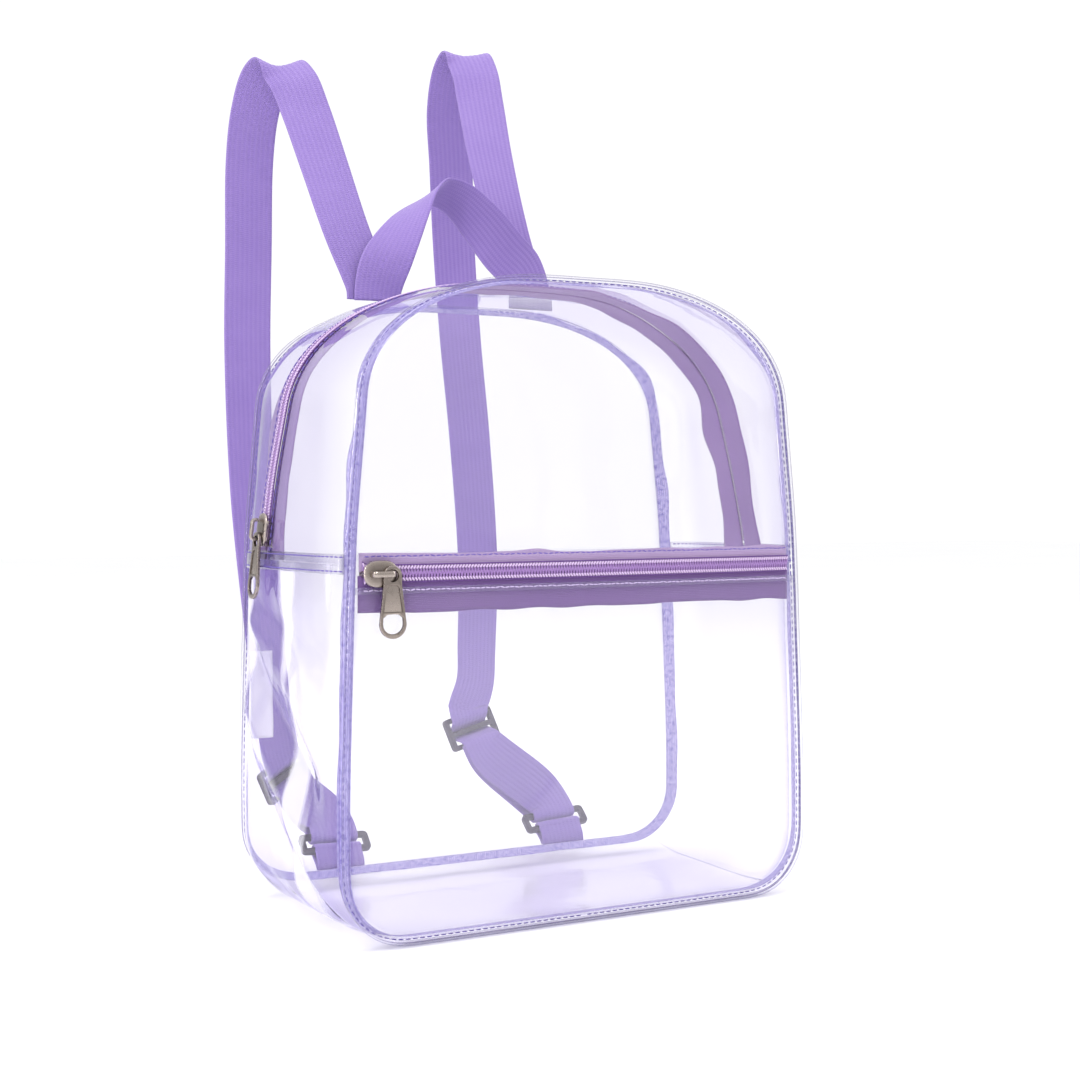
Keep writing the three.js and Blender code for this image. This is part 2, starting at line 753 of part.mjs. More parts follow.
const rightStrapTable = [
  { across: 0.335, back: 0, up: 1.0015, turn: 0 },
  { across: 0.335, back: 0, up: 1.01, turn: 0 },
  { across: 0.333, back: 0.004, up: 1.025, turn: 0 },
  { across: 0.312, back: 0.02, up: 1.06, turn: 0 },
  { across: 0.27, back: 0.045, up: 1.1, turn: -1 },
  { across: 0.235, back: 0.1, up: 1.18, turn: -3 },
  { across: 0.235, back: 0.27, up: 1.3, turn: -12 },
  { across: 0.25, back: 0.42, up: 1.4, turn: -22 },
  { across: 0.252, back: 0.5, up: 1.46, turn: -26 },
  { across: 0.245, back: 0.6, up: 1.495, turn: -27 },
  { across: 0.235, back: 0.71, up: 1.475, turn: -26 },
  { across: 0.24, back: 0.82, up: 1.41, turn: -20 },
  { across: 0.28, back: 0.91, up: 1.31, turn: -14 },
  { across: 0.308, back: 0.95, up: 1.15, turn: -8 },
  { across: 0.298, back: 0.84, up: 0.97, turn: -4 },
  { across: 0.262, back: 0.62, up: 0.77, turn: 0 },
  { across: 0.215, back: 0.4, up: 0.54, turn: 6 },
  { across: 0.165, back: 0.29, up: 0.39, turn: 10 },
  { across: 0.14, back: 0.245, up: 0.325, turn: 12 },
];

// The handle and the straps stand one behind the other on top of the back welt
const weltMiddle = halfDepth + weltForward - weltDeep / 2;
const webStack = webThick + layerGap;
const strapPlane = weltMiddle + webStack / 2;

function strapPoint(row) {
  return new THREE.Vector3(
    row.across * bagWidth / 2,
    strapPlane + row.back * strapReach,
    row.up * bagHeight,
  );
}

// A fitting's frame: u along its bars, v along the webbing downwards, w towards the bag
function fittingFrame(centre, turn, tilt, lean) {
  const u = turned(turn, tilt);
  const down = new THREE.Vector3(0, 0, -1);
  const v = down.addScaledVector(u, -down.dot(u)).normalize();
  v.applyAxisAngle(u, THREE.MathUtils.degToRad(lean));
  return { centre, u, v, w: u.clone().cross(v).normalize().negate() };
}

function inFrame(frame, v, w) {
  return frame.centre.clone().addScaledVector(frame.v, v).addScaledVector(frame.w, w);
}

const barStep = glideSlot + fitBar;
const glideLong = barStep * 2 + fitBar;
const turnRadius = fitBar / 2 * 1.2 + layerGap * 2 + webThick / 2;
const ringStep = ringSlot + fitBar;
const doubleGap = webThick + layerGap * 2;

// across and up place the adjuster, back its distance behind the back panel.
// leave and arrive bow the double layer below it and above the ring.
const adjusters = {
  left: { across: -0.746, up: 0.182, back: 0.283, turn: 26.4, tilt: 22, lean: -8.6, leave: 21.4, arrive: 43.8 },
  right: { across: 0.107, up: 0.242, back: 0.212, turn: 13.5, tilt: 11, lean: -20, leave: 27.8, arrive: 41.5 },
};

function ringFrame(side) {
  const lowBar = new THREE.Vector3(
    strapOffset + side * tabSpread / 2,
    halfDepth + backDome + weltForward + turnRadius + webThick,
    standOff + backRise + ringStep,
  );
  const frame = fittingFrame(lowBar, 0, side > 0 ? 4 : -2, ringLean);
  return { ...frame, centre: inFrame(frame, -ringStep, 0) };
}

function glideFrame(side) {
  const row = side > 0 ? adjusters.right : adjusters.left;
  return fittingFrame(strapPoint(row), row.turn, row.tilt, row.lean);
}

function strapSolid(side) {
  const table = side > 0 ? rightStrapTable : leftStrapTable;
  const bow = side > 0 ? adjusters.right : adjusters.left;
  const glide = glideFrame(side);
  const ring = ringFrame(side);
  const upper = table.map((row) => ({ point: strapPoint(row), across: turned(row.turn, 0) }));
  const entry = { point: inFrame(glide, -glideLong * 0.62, glideWave), across: glide.u };
  const stations = smoothStations([...upper, entry], 3);
  const crossSteps = 12;
  for (let i = 1; i <= crossSteps; i += 1) {
    const v = -barStep + (i / crossSteps) * barStep * 2;
    const deep = v < 0 ? 0 : doubleGap / 2;
    const wave = deep - (glideWave + deep) * Math.cos(Math.PI * v / barStep);
    stations.push({ point: inFrame(glide, v, wave), across: glide.u });
  }
  const leave = { point: inFrame(glide, barStep + fitBar, glideWave + doubleGap), across: glide.u };
  stations.push(leave);
  const arrive = { point: inFrame(ring, -fitBar, turnRadius), across: ring.u };
  const pullIn = glide.v.clone().multiplyScalar(bow.leave);
  const pushDown = ring.v.clone().multiplyScalar(bow.arrive);
  stations.push(...bridgeStations(leave, pullIn, arrive, pushDown, 8), arrive);
  const turnSteps = 8;
  for (let i = 0; i <= turnSteps; i += 1) {
    const a = (i / turnSteps) * Math.PI;
    stations.push({
      point: inFrame(ring, turnRadius * Math.sin(a), turnRadius * Math.cos(a)),
      across: ring.u,
    });
  }
  const depart = { point: inFrame(ring, -fitBar, -turnRadius), across: ring.u };
  const finish = { point: inFrame(glide, barStep + fitBar, glideWave), across: glide.u };
  stations.push(depart);
  stations.push(...bridgeStations(depart, pushDown.clone().negate(), finish, pullIn.clone().negate(), 8), finish);
  stations.push({ point: inFrame(glide, barStep, glideWave), across: glide.u });
  return ribbonSolid(stations);
}

function fittingSolid(frame, long, slots, slotTall, sideRoom) {
  const shape = roundedRect(webWide + 2 * sideRoom + 2 * fitBar, long, fitBar * 0.9);
  for (const middle of slots) {
    const hole = new THREE.Path();
    const w = webWide / 2 + sideRoom;
    const h = slotTall / 2;
    hole.moveTo(-w, middle - h);
    hole.lineTo(-w, middle + h);
    hole.lineTo(w, middle + h);
    hole.lineTo(w, middle - h);
    shape.holes.push(hole);
  }
  const geometry = new THREE.ExtrudeGeometry(shape, { depth: fitThick, bevelEnabled: false, curveSegments: 4 });
  geometry.translate(0, 0, -fitThick / 2);
  const up = frame.v.clone().negate();
  const face = frame.u.clone().cross(up);
  geometry.applyMatrix4(new THREE.Matrix4().makeBasis(frame.u, up, face));
  geometry.translate(frame.centre.x, frame.centre.y, frame.centre.z);
  return geometry;
}

function roundedRect(wide, long, r) {
  const shape = new THREE.Shape();
  const w = wide / 2;
  const h = long / 2;
  shape.moveTo(-w + r, -h);
  shape.lineTo(w - r, -h);
  shape.quadraticCurveTo(w, -h, w, -h + r);
  shape.lineTo(w, h - r);
  shape.quadraticCurveTo(w, h, w - r, h);
  shape.lineTo(-w + r, h);
  shape.quadraticCurveTo(-w, h, -w, h - r);
  shape.lineTo(-w, -h + r);
  shape.quadraticCurveTo(-w, -h, -w + r, -h);
  return shape;
}

// The ring's frame is centred on its upper bar, where the strap turns
function ringSolid(side) {
  const frame = ringFrame(side);
  const centred = { ...frame, centre: inFrame(frame, ringStep / 2, 0) };
  return fittingSolid(centred, ringStep + fitBar, [0], ringSlot, ringSide);
}

function tabSolid(side) {
  const frame = ringFrame(side);
  const low = { ...frame, centre: inFrame(frame, ringStep, 0) };
  const seamY = halfDepth + weltForward + layerGap + webThick / 2;
  const footAt = (layer) => ({
    point: new THREE.Vector3(low.centre.x, seamY + layer * webStack, standOff + backRise),
    across: turned(0, 0),
  });
  const start = footAt(1);
  const arrive = { point: inFrame(low, 0, -turnRadius), across: low.u };
  const rise = new THREE.Vector3(0, 0, turnRadius * 2);
  const pull = low.v.clone().multiplyScalar(-turnRadius * 2);
  const bridge = bridgeStations(start, rise, arrive, pull, 4);
  const stations = [start, ...bridge];
  const turnSteps = 8;
  for (let i = 0; i <= turnSteps; i += 1) {
    const a = (i / turnSteps) * Math.PI;
    stations.push({
      point: inFrame(low, -turnRadius * Math.sin(a), -turnRadius * Math.cos(a)),
      across: low.u,
    });
  }
  stations.push(...returnStations(bridge, -webStack, -turnRadius * 2), footAt(0));
  return ribbonSolid(stations);
}

// Carry handle: across is a share of half its spread, up of its rise, lean of the webbing's width.
// outX, outY and outZ give the way its outer face looks.
const handleTable = [
  { across: -1, up: 0, lean: 0, outX: 0, outY: -1, outZ: 0 },
  { across: -1, up: 0.07, lean: -0.01, outX: 0, outY: -1, outZ: 0 },
  { across: -0.96, up: 0.25, lean: -0.1, outX: -0.2, outY: -1, outZ: 0.1 },
  { across: -0.83, up: 0.48, lean: -0.18, outX: -0.6, outY: -0.8, outZ: 0.4 },
  { across: -0.61, up: 0.74, lean: -0.1, outX: -0.75, outY: -0.4, outZ: 0.7 },
  { across: -0.38, up: 0.93, lean: 0.02, outX: -0.45, outY: 0.1, outZ: 0.9 },
  { across: -0.17, up: 1, lean: 0.08, outX: 0, outY: 0.4, outZ: 0.9 },
  { across: 0.06, up: 0.94, lean: 0.04, outX: 0.4, outY: 0.5, outZ: 0.75 },
  { across: 0.32, up: 0.74, lean: -0.1, outX: 0.6, outY: 0.7, outZ: 0.45 },
  { across: 0.6, up: 0.48, lean: -0.22, outX: 0.45, outY: 0.9, outZ: 0.2 },
  { across: 0.84, up: 0.335, lean: -0.16, outX: 0.2, outY: 1, outZ: 0 },
  { across: 0.945, up: 0.225, lean: -0.08, outX: 0, outY: 1, outZ: 0 },
  { across: 0.99, up: 0.12, lean: -0.02, outX: 0, outY: 1, outZ: 0 },
  { across: 1, up: 0.03, lean: 0, outX: 0, outY: 1, outZ: 0 },
  { across: 1, up: 0, lean: 0, outX: 0, outY: 1, outZ: 0 },
];

function handleSolid() {
  const seat = bagHeight + layerGap;
  const plane = weltMiddle - webStack / 2;
  const rough = handleTable.map((row) => new THREE.Vector3(
    strapOffset + row.across * handleSpread / 2,
    plane + row.lean * webWide,
    seat + row.up * handleRise,
  ));
  const stations = handleTable.map((row, i) => {
    const before = rough[Math.max(0, i - 1)];
    const after = rough[Math.min(rough.length - 1, i + 1)];
    const along = after.clone().sub(before).normalize();
    const out = new THREE.Vector3(row.outX, row.outY, row.outZ).normalize();
    return { point: rough[i], across: along.clone().cross(out).normalize() };
  });
  return ribbonSolid(smoothStations(stations, 3));
}

function labelSolid() {
  const p = outlineAt(labelUp);
  const y = backSeam - bindingWide - layerGap - labelThick / 2;
  const inside = gussetPoint(p, -1, y, -filmWall - layerGap * 2);
  const geometry = new THREE.BoxGeometry(labelWide, labelThick, labelLong);
  geometry.translate(inside.x + labelWide / 2, y, labelUp - labelLong / 2);
  return geometry;
}

// Assembly

const bag = new THREE.Group();
bag.name = "clear_backpack";

const body = new THREE.Group();
body.name = "body";
body.add(
  meshFrom("front_upper_panel", frontSheet(upperPanelLow, outlineTop, 0, filmWall, 0), "film"),
  meshFrom("front_pocket_panel", frontSheet(standOff, pocketTop, 0, filmWall, 0), "film"),
  meshFrom("pocket_divider", dividerSheet(), "film"),
  meshFrom("back_panel", backSheet(), "film"),
  meshFrom("left_lower_gusset", sideGusset(-1, foldColumns, true), "film"),
  meshFrom("bottom_gusset", bottomGusset(), "film"),
  meshFrom("right_lower_gusset", sideGusset(1, gussetColumns, false), "film"),
  meshFrom("upper_gusset_front", upperStrip(true), "film"),
  meshFrom("upper_gusset_back", upperStrip(false), "film"),
  meshFrom("left_cross_band", crossBand(-1), "film"),
  meshFrom("right_cross_band", crossBand(1), "film"),
  meshFrom("front_welt", welt(true), "film"),
  meshFrom("back_welt", welt(false), "film"),
  meshFrom("front_binding", hoop(frontSeam, frontSeam + bindingWide, tapeLift, bindingThick), "binding"),
  meshFrom("back_binding", hoop(backSeam - bindingWide, backSeam, tapeLift, bindingThick), "binding"),
  meshFrom("care_label", labelSolid(), "label"),
);

const pocketZip = new THREE.Group();
pocketZip.name = "pocket_zipper";
pocketZip.add(
  meshFrom("pocket_upper_tape",
    frontBand(upperTapeLow, upperTapeLow + pocketUpperTape, tapeDepth, tapeThick, -1), "paleTape"),
  meshFrom("pocket_lower_tape",
    frontBand(lowerTapeHigh - tapeWide, lowerTapeHigh, tapeDepth, tapeThick, -1), "tape"),
  meshFrom("pocket_zip_coil", pocketCoil(), "coil"),
);
const pocketSlider = new THREE.Group();
pocketSlider.name = "pocket_slider_group";
const pocketU = pocketSliderX / outlineAt(pocketCoilUp).half;
pocketSlider.position.set(pocketSliderX, frontFace(pocketU, pocketCoilUp), pocketCoilUp);
const pocketPull = meshFrom("pocket_zip_pull", pullPlate(), "metal");
pocketPull.position.set(pullPivotX, pullY, 0);
pocketSlider.add(meshFrom("pocket_zip_slider", sliderBody(-1), "metal"), pocketPull);
pocketZip.add(pocketSlider);

const mainZip = new THREE.Group();
mainZip.name = "main_zipper";
mainZip.add(
  meshFrom("main_front_tape", mainTape(true), "paleTape"),
  meshFrom("main_back_tape", mainTape(false), "paleTape"),
  meshFrom("main_zip_coil", mainCoil(), "coil"),
);
const mainSlider = new THREE.Group();
mainSlider.name = "main_slider_group";
const sliderSeat = outlineAt(mainSliderUp);
const sliderRun = mainSliderUp - seamUp;
const sliderY = coilDepth({ run: sliderRun });
const seatPoint = gussetPoint(sliderSeat, -1, sliderY, 0);
const ahead = gussetPoint(outlineAt(mainSliderUp + sliderLong), -1, coilDepth({ run: sliderRun + sliderLong }), 0);
const upAlong = ahead.clone().sub(seatPoint).normalize();
const faceOut = new THREE.Vector3(-sliderSeat.nx, 0, sliderSeat.nz);
faceOut.addScaledVector(upAlong, -faceOut.dot(upAlong)).normalize();
const frameX = upAlong.clone().negate();
const frameY = faceOut.clone().negate();
const frameZ = frameX.clone().cross(frameY).normalize();
mainSlider.setRotationFromMatrix(new THREE.Matrix4().makeBasis(frameX, frameY, frameZ));
mainSlider.position.copy(seatPoint);
const mainPull = meshFrom("main_zip_pull", pullPlate(), "metal");
mainPull.position.set(pullPivotX, pullY, 0);
mainPull.rotation.y = Math.atan2(frameX.z, frameZ.z);
mainSlider.add(meshFrom("main_zip_slider", sliderBody(1), "metal"), mainPull);
mainZip.add(mainSlider);

const harness = new THREE.Group();
harness.name = "harness";
harness.add(meshFrom("carry_handle", handleSolid(), "webbing"));
for (const [word, side] of [["left", -1], ["right", 1]]) {
  harness.add(
    meshFrom(`${word}_strap`, strapSolid(side), "webbing"),
    meshFrom(`${word}_adjuster`, fittingSolid(glideFrame(side), glideLong,
      [-barStep / 2, barStep / 2], glideSlot, fitSide), "plastic"),
    meshFrom(`${word}_ring`, ringSolid(side), "plastic"),
    meshFrom(`${word}_tab`, tabSolid(side), "webbing"),
  );
}

bag.add(body, pocketZip, mainZip, harness);

export default bag;
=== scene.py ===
"""Looks of the see-through backpack: clear film, lilac webbing, coil zippers and nickel sliders.

All shapes are worked out in millimetres in the part's own frame and written in metres.
"""

import json
import math

import bmesh
import bpy
import numpy as np
from mathutils import Matrix, Vector


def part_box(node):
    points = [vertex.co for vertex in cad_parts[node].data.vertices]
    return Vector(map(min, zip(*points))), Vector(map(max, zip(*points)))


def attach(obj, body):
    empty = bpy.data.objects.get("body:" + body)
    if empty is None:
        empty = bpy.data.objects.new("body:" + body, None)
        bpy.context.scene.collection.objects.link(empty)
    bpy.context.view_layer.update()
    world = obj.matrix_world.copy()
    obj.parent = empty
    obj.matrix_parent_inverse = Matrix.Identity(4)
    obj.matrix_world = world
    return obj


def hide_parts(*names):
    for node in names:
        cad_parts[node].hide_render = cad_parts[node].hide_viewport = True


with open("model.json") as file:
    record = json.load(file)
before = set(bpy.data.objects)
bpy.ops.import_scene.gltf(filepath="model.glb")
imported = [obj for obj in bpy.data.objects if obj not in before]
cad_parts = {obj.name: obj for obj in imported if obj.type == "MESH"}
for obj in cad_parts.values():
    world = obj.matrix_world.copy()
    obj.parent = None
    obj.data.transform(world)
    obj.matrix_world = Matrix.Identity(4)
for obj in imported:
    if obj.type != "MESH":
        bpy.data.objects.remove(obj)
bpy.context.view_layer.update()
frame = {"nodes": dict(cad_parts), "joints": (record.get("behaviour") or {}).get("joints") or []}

# Sizes of the body, as in the solids
WIDTH, HEIGHT, DEPTH = 241.3, 292.1, 127.0
FILM, GAP = 1.0, 0.3
CORNER = 27.0
SHOULDER_UP, SHOULDER_NARROW, ARCH_POWER, TOP_FLAT = 0.8, 0.921, 2.15, 34.0
BACK_GROW, BACK_SHIFT, BACK_RISE = 0.035, 2.0, 5.0
SIDE_BULGE, TOP_BULGE, FRONT_DOME, BACK_DOME = 8.0, 4.0, 4.0, 2.5
WELT_REACH, WELT_DEEP, WELT_FORWARD = 2.5, 3.6, 1.0
BINDING_WIDE, BINDING_THICK = 8.0, 0.8
SEAM_UP, BAND_TALL = 164.5, 8.5
COIL_WIDE, TAPE_THICK, TAPE_WIDE, SLIT_WIDE = 7.4, 0.8, 13.0, 10.4
POCKET_COIL_UP, UPPER_TAPE, UPPER_LAP, LOWER_LIP = 160.6, 4.6, 2.4, 1.8
DIVIDER_BACK, DIVIDER_RECESS, DIVIDER_LIP, DIVIDER_RAMP = 4.4, 4.4, 1.5, 25.0
SLIDER_LONG, SLIDER_WIDE, PLATE, POST = 15.6, 11.6, 1.6, 3.0
CROWN_WIDE, CROWN_LEG, CROWN_LONG, CROWN_ROOM, CROWN_THICK = 2.6, 2.0, 11.0, 2.4, 1.6
PULL_LONG, PULL_HEAD, PULL_TAIL, PULL_THICK, PULL_RIM = 31.0, 8.4, 12.4, 1.5, 1.5
POCKET_SLIDER_IN, MAIN_SLIDER_UP = 10.8, 178.0
WEB_WIDE, WEB_THICK, STRAP_REACH = 25.0, 1.4, 90.0
TAB_SPREAD, HANDLE_SPREAD, HANDLE_RISE, STRAP_OFFSET = 128.0, 87.0, 58.0, -5.0
FIT_BAR, GLIDE_SLOT, RING_SLOT, GLIDE_WAVE, RING_LEAN = 2.8, 4.6, 5.4, 3.4, -45
LABEL_WIDE, LABEL_LONG = 11.0, 42.0

HALF = WIDTH / 2 - WELT_REACH - GAP
STAND = WELT_REACH + GAP * 2
TOP = HEIGHT - WELT_REACH - GAP
HALF_DEPTH = DEPTH / 2
FRONT_SEAM = -HALF_DEPTH + FILM + GAP
BACK_SEAM = HALF_DEPTH - FILM - GAP
COIL_HALF, SLIT_HALF = COIL_WIDE / 2, SLIT_WIDE / 2
SHEET = 0.5
SETBACK = 0.05
OUTLINE_STEP = 3.5


def unit(vectors):
    """Vectors along the last axis, brought to length one."""
    return vectors / (np.linalg.norm(vectors, axis=-1, keepdims=True) + 1e-9)


def lengths(line):
    """Distance of each point along its line, from zero."""
    return np.concatenate([[0], np.cumsum(np.linalg.norm(np.diff(line, axis=0), axis=1))])


def sample(at, run, table):
    """Rows of a table at places between its own rows, whose places are in run."""
    return np.stack([np.interp(at, run, column) for column in np.asarray(table, float).T], 1)


# Outline of the right half, from the middle of the base to the middle of the top

def right_outline():
    points = [(x, STAND) for x in np.arange(0, HALF - CORNER, 4.0)]
    for a in np.linspace(0, math.pi / 2, 15):
        points.append((HALF - CORNER + CORNER * math.sin(a), STAND + CORNER * (1 - math.cos(a))))
    ups = [0.15, 0.2, 0.26, 0.32, 0.38, 0.445, 0.5, 0.61, 0.655, 0.73, 0.8]
    halves = [1, 1, 0.997, 0.992, 0.987, 0.981, 0.977, 0.965, 0.956, 0.938, SHOULDER_NARROW]
    for up in np.arange(STAND + CORNER + 4, SHOULDER_UP * HEIGHT - 2, 4.0):
        points.append((HALF * np.interp(up / HEIGHT, ups, halves), up))
    wide, low = HALF * SHOULDER_NARROW, SHOULDER_UP * HEIGHT
    for a in np.linspace(0, math.pi / 2, 37):
        across = max(0.0, math.cos(a)) ** (2 / ARCH_POWER)
        points.append((TOP_FLAT / 2 + (wide - TOP_FLAT / 2) * across,
                       low + (TOP - low) * math.sin(a) ** (2 / ARCH_POWER)))
    points += [(x, TOP) for x in (12.0, 8.0, 4.0, 0.0)]
    line = np.array(points)
    run = lengths(line)
    line = sample(np.linspace(0, run[-1], int(run[-1] / OUTLINE_STEP)), run, line)
    for _ in range(3):
        line[1:-1] = (line[:-2] + 2 * line[1:-1] + line[2:]) / 4
    along = np.gradient(line, axis=0)
    along[0], along[-1] = (1, 0), (-1, 0)
    along = unit(along)
    return np.column_stack([line, along[:, 1], -along[:, 0]])


OUTLINE = right_outline()


def outline_at(up):
    """Outline rows (half, up, nx, nz) at the given heights, on the side and the arch."""
    first = int(np.argmax(OUTLINE[:, 1] > STAND + 0.05)) - 1
    rows = OUTLINE[first:]
    last = int(np.argmax(rows[:, 1] >= rows[:, 1].max() - 1e-6)) + 1
    rows = rows[:last]
    up = np.atleast_1d(np.asarray(up, float))
    return sample(up, rows[:, 1], rows)


def puff(t):
    edge = np.clip(np.minimum(t, 1 - t) / 0.25, 0, 1)
    return np.sin(np.pi / 2 * edge ** 0.9)


def depth_share(y):
    return (y - FRONT_SEAM) / (BACK_SEAM - FRONT_SEAM)


def gusset(rows, side, y, lift, fold=0.0):
    """Points of the gusset for outline rows (n, 4), their sides (n,), depths (n, m) and lift."""
    rows, y = np.atleast_2d(rows), np.asarray(y, float)
    if y.ndim == 1:
        y = np.broadcast_to(y, (len(rows), len(y)))
    side = np.broadcast_to(np.asarray(side, float).reshape(-1, 1), y.shape)
    half, up, nx, nz = (rows[:, k:k + 1] for k in range(4))
    t = depth_share(y)
    facing = np.where(nz < 0, STAND, TOP_BULGE)
    out = (SIDE_BULGE + (facing - SIDE_BULGE) * np.abs(nz)) * puff(t) + lift + fold
    low = np.clip(1 - up / (CORNER * 2), 0, None)
    raised = np.interp(t, [0, 0.75, 0.9, 1], [0, 0, 0.45, 1])
    x = side * (half * (1 + BACK_GROW * t) + out * nx) + BACK_SHIFT * t
    z = up + out * nz + BACK_RISE * low * raised
    return np.stack([x, y, z], -1)


def front_face(u, up):
    v = (2 * up - HEIGHT) / HEIGHT
    return -HALF_DEPTH - FRONT_DOME * np.clip(1 - u * u, 0, None) * np.clip(1 - v * v, 0, None)


# Meshes

def make(name, points, faces, replaces=(), body="root", slot=None, material=None, uv=None):
    """Mesh object in metres from points in millimetres, on its body and in place of its nodes."""
    mesh = bpy.data.meshes.new(name)
    mesh.from_pydata((np.asarray(points, float) * 0.001).tolist(), [], [list(map(int, f)) for f in faces])
    if uv is not None:
        layer = mesh.uv_layers.new(name="UVMap")
        index = np.empty(len(mesh.loops), int)
        mesh.loops.foreach_get("vertex_index", index)
        layer.data.foreach_set("uv", np.asarray(uv, float)[index].ravel())
    mesh.validate()
    fix = bmesh.new()
    fix.from_mesh(mesh)
    bmesh.ops.recalc_face_normals(fix, faces=fix.faces)
    fix.to_mesh(mesh)
    fix.free()
    mesh.shade_smooth()
    obj = bpy.data.objects.new(name, mesh)
    bpy.context.scene.collection.objects.link(obj)
    if material is not None:
        mesh.materials.append(material)
    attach(obj, body)
    if replaces:
        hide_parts(*replaces)
    return obj


def slab(outer, inner, closed=False, uv=None):
    """Closed solid between two grids of points (n, m, 3); closed joins the last row to the first."""
    n, m = outer.shape[:2]
    points = np.concatenate([outer.reshape(-1, 3), inner.reshape(-1, 3)])
    a = np.arange(n * m).reshape(n, m)
    b = a + n * m
    if closed:
        a, b = np.vstack([a, a[:1]]), np.vstack([b, b[:1]])
    quads = [
        np.stack([a[:-1, :-1], a[:-1, 1:], a[1:, 1:], a[1:, :-1]], -1).reshape(-1, 4),
        np.stack([b[:-1, :-1], b[1:, :-1], b[1:, 1:], b[:-1, 1:]], -1).reshape(-1, 4),
        np.stack([a[:-1, 0], a[1:, 0], b[1:, 0], b[:-1, 0]], -1),
        np.stack([a[:-1, -1], b[:-1, -1], b[1:, -1], a[1:, -1]], -1),
    ]
    if not closed:
        quads += [
            np.stack([a[0, :-1], b[0, :-1], b[0, 1:], a[0, 1:]], -1),
            np.stack([a[-1, :-1], a[-1, 1:], b[-1, 1:], b[-1, :-1]], -1),
        ]
    pairs = None if uv is None else np.concatenate([uv.reshape(-1, 2)] * 2)
    return points, np.concatenate(quads), pairs


def soft_noise(shape, cells, seed):
    """Smooth noise over a grid, from -1 to 1, with the given number of cells each way."""
    source = np.random.default_rng(seed).uniform(-1, 1, (cells[0] + 3, cells[1] + 3))
    i = np.linspace(0, cells[0], shape[0])[:, None]
    j = np.linspace(0, cells[1], shape[1])[None, :]
    i0, j0 = i.astype(int), j.astype(int)
    fi, fj = i - i0, j - j0
    fi, fj = fi * fi * (3 - 2 * fi), fj * fj * (3 - 2 * fj)
    top = source[i0, j0] * (1 - fj) + source[i0, j0 + 1] * fj
    low = source[i0 + 1, j0] * (1 - fj) + source[i0 + 1, j0 + 1] * fj
    return top * (1 - fi) + low * fi


def rods(name, starts, ends, radius, material, slot, sides=5, replaces=()):
    """Many short rods with rounded ends in one mesh."""
    starts, ends = np.asarray(starts, float), np.asarray(ends, float)
    along = ends - starts
    length = np.linalg.norm(along, axis=1, keepdims=True)
    along = along / length
    guide = np.where(np.abs(along[:, 2:3]) < 0.9, [[0, 0, 1.0]], [[1.0, 0, 0]])
    e1 = unit(np.cross(along, guide))
    e2 = np.cross(along, e1)
    stops = [(0.0, 0.35), (0.12, 0.85), (0.3, 1.0), (0.7, 1.0), (0.88, 0.85), (1.0, 0.35)]
    angle = np.arange(sides) / sides * 2 * math.pi
    round_it = np.cos(angle)[None, :, None] * e1[:, None] + np.sin(angle)[None, :, None] * e2[:, None]
    rings = [(starts + along * length * share)[:, None] + radius * thick * round_it for share, thick in stops]
    points = np.stack(rings, 1)
    count, levels = points.shape[:2]
    base = np.arange(count)[:, None, None] * levels * sides
    level = np.arange(levels - 1)[None, :, None] * sides
    j = np.arange(sides)[None, None, :]
    k = (j + 1) % sides
    low, high = base + level, base + level + sides
    quads = np.stack([low + j, low + k, high + k, high + j], -1)
    faces = quads.reshape(-1, 4).tolist()
    for c in range(count):
        first = c * levels * sides
        faces.append([first + j for j in reversed(range(sides))])
        faces.append([first + (levels - 1) * sides + j for j in range(sides)])
    return make(name, points.reshape(-1, 3), faces, replaces, slot=slot, material=material)


def along_line(line, pitch, long, start=0.0):
    """Starts and ends of dashes that follow a line of points."""
    run = lengths(line)
    first = np.arange(start, run[-1] - long, pitch)
    return sample(first, run, line), sample(first + long, run, line)


# Materials

def srgb(r, g, b):
    return tuple(((c / 255 + 0.055) / 1.055) ** 2.4 if c > 10 else c / 3294.6 for c in (r, g, b)) + (1.0,)


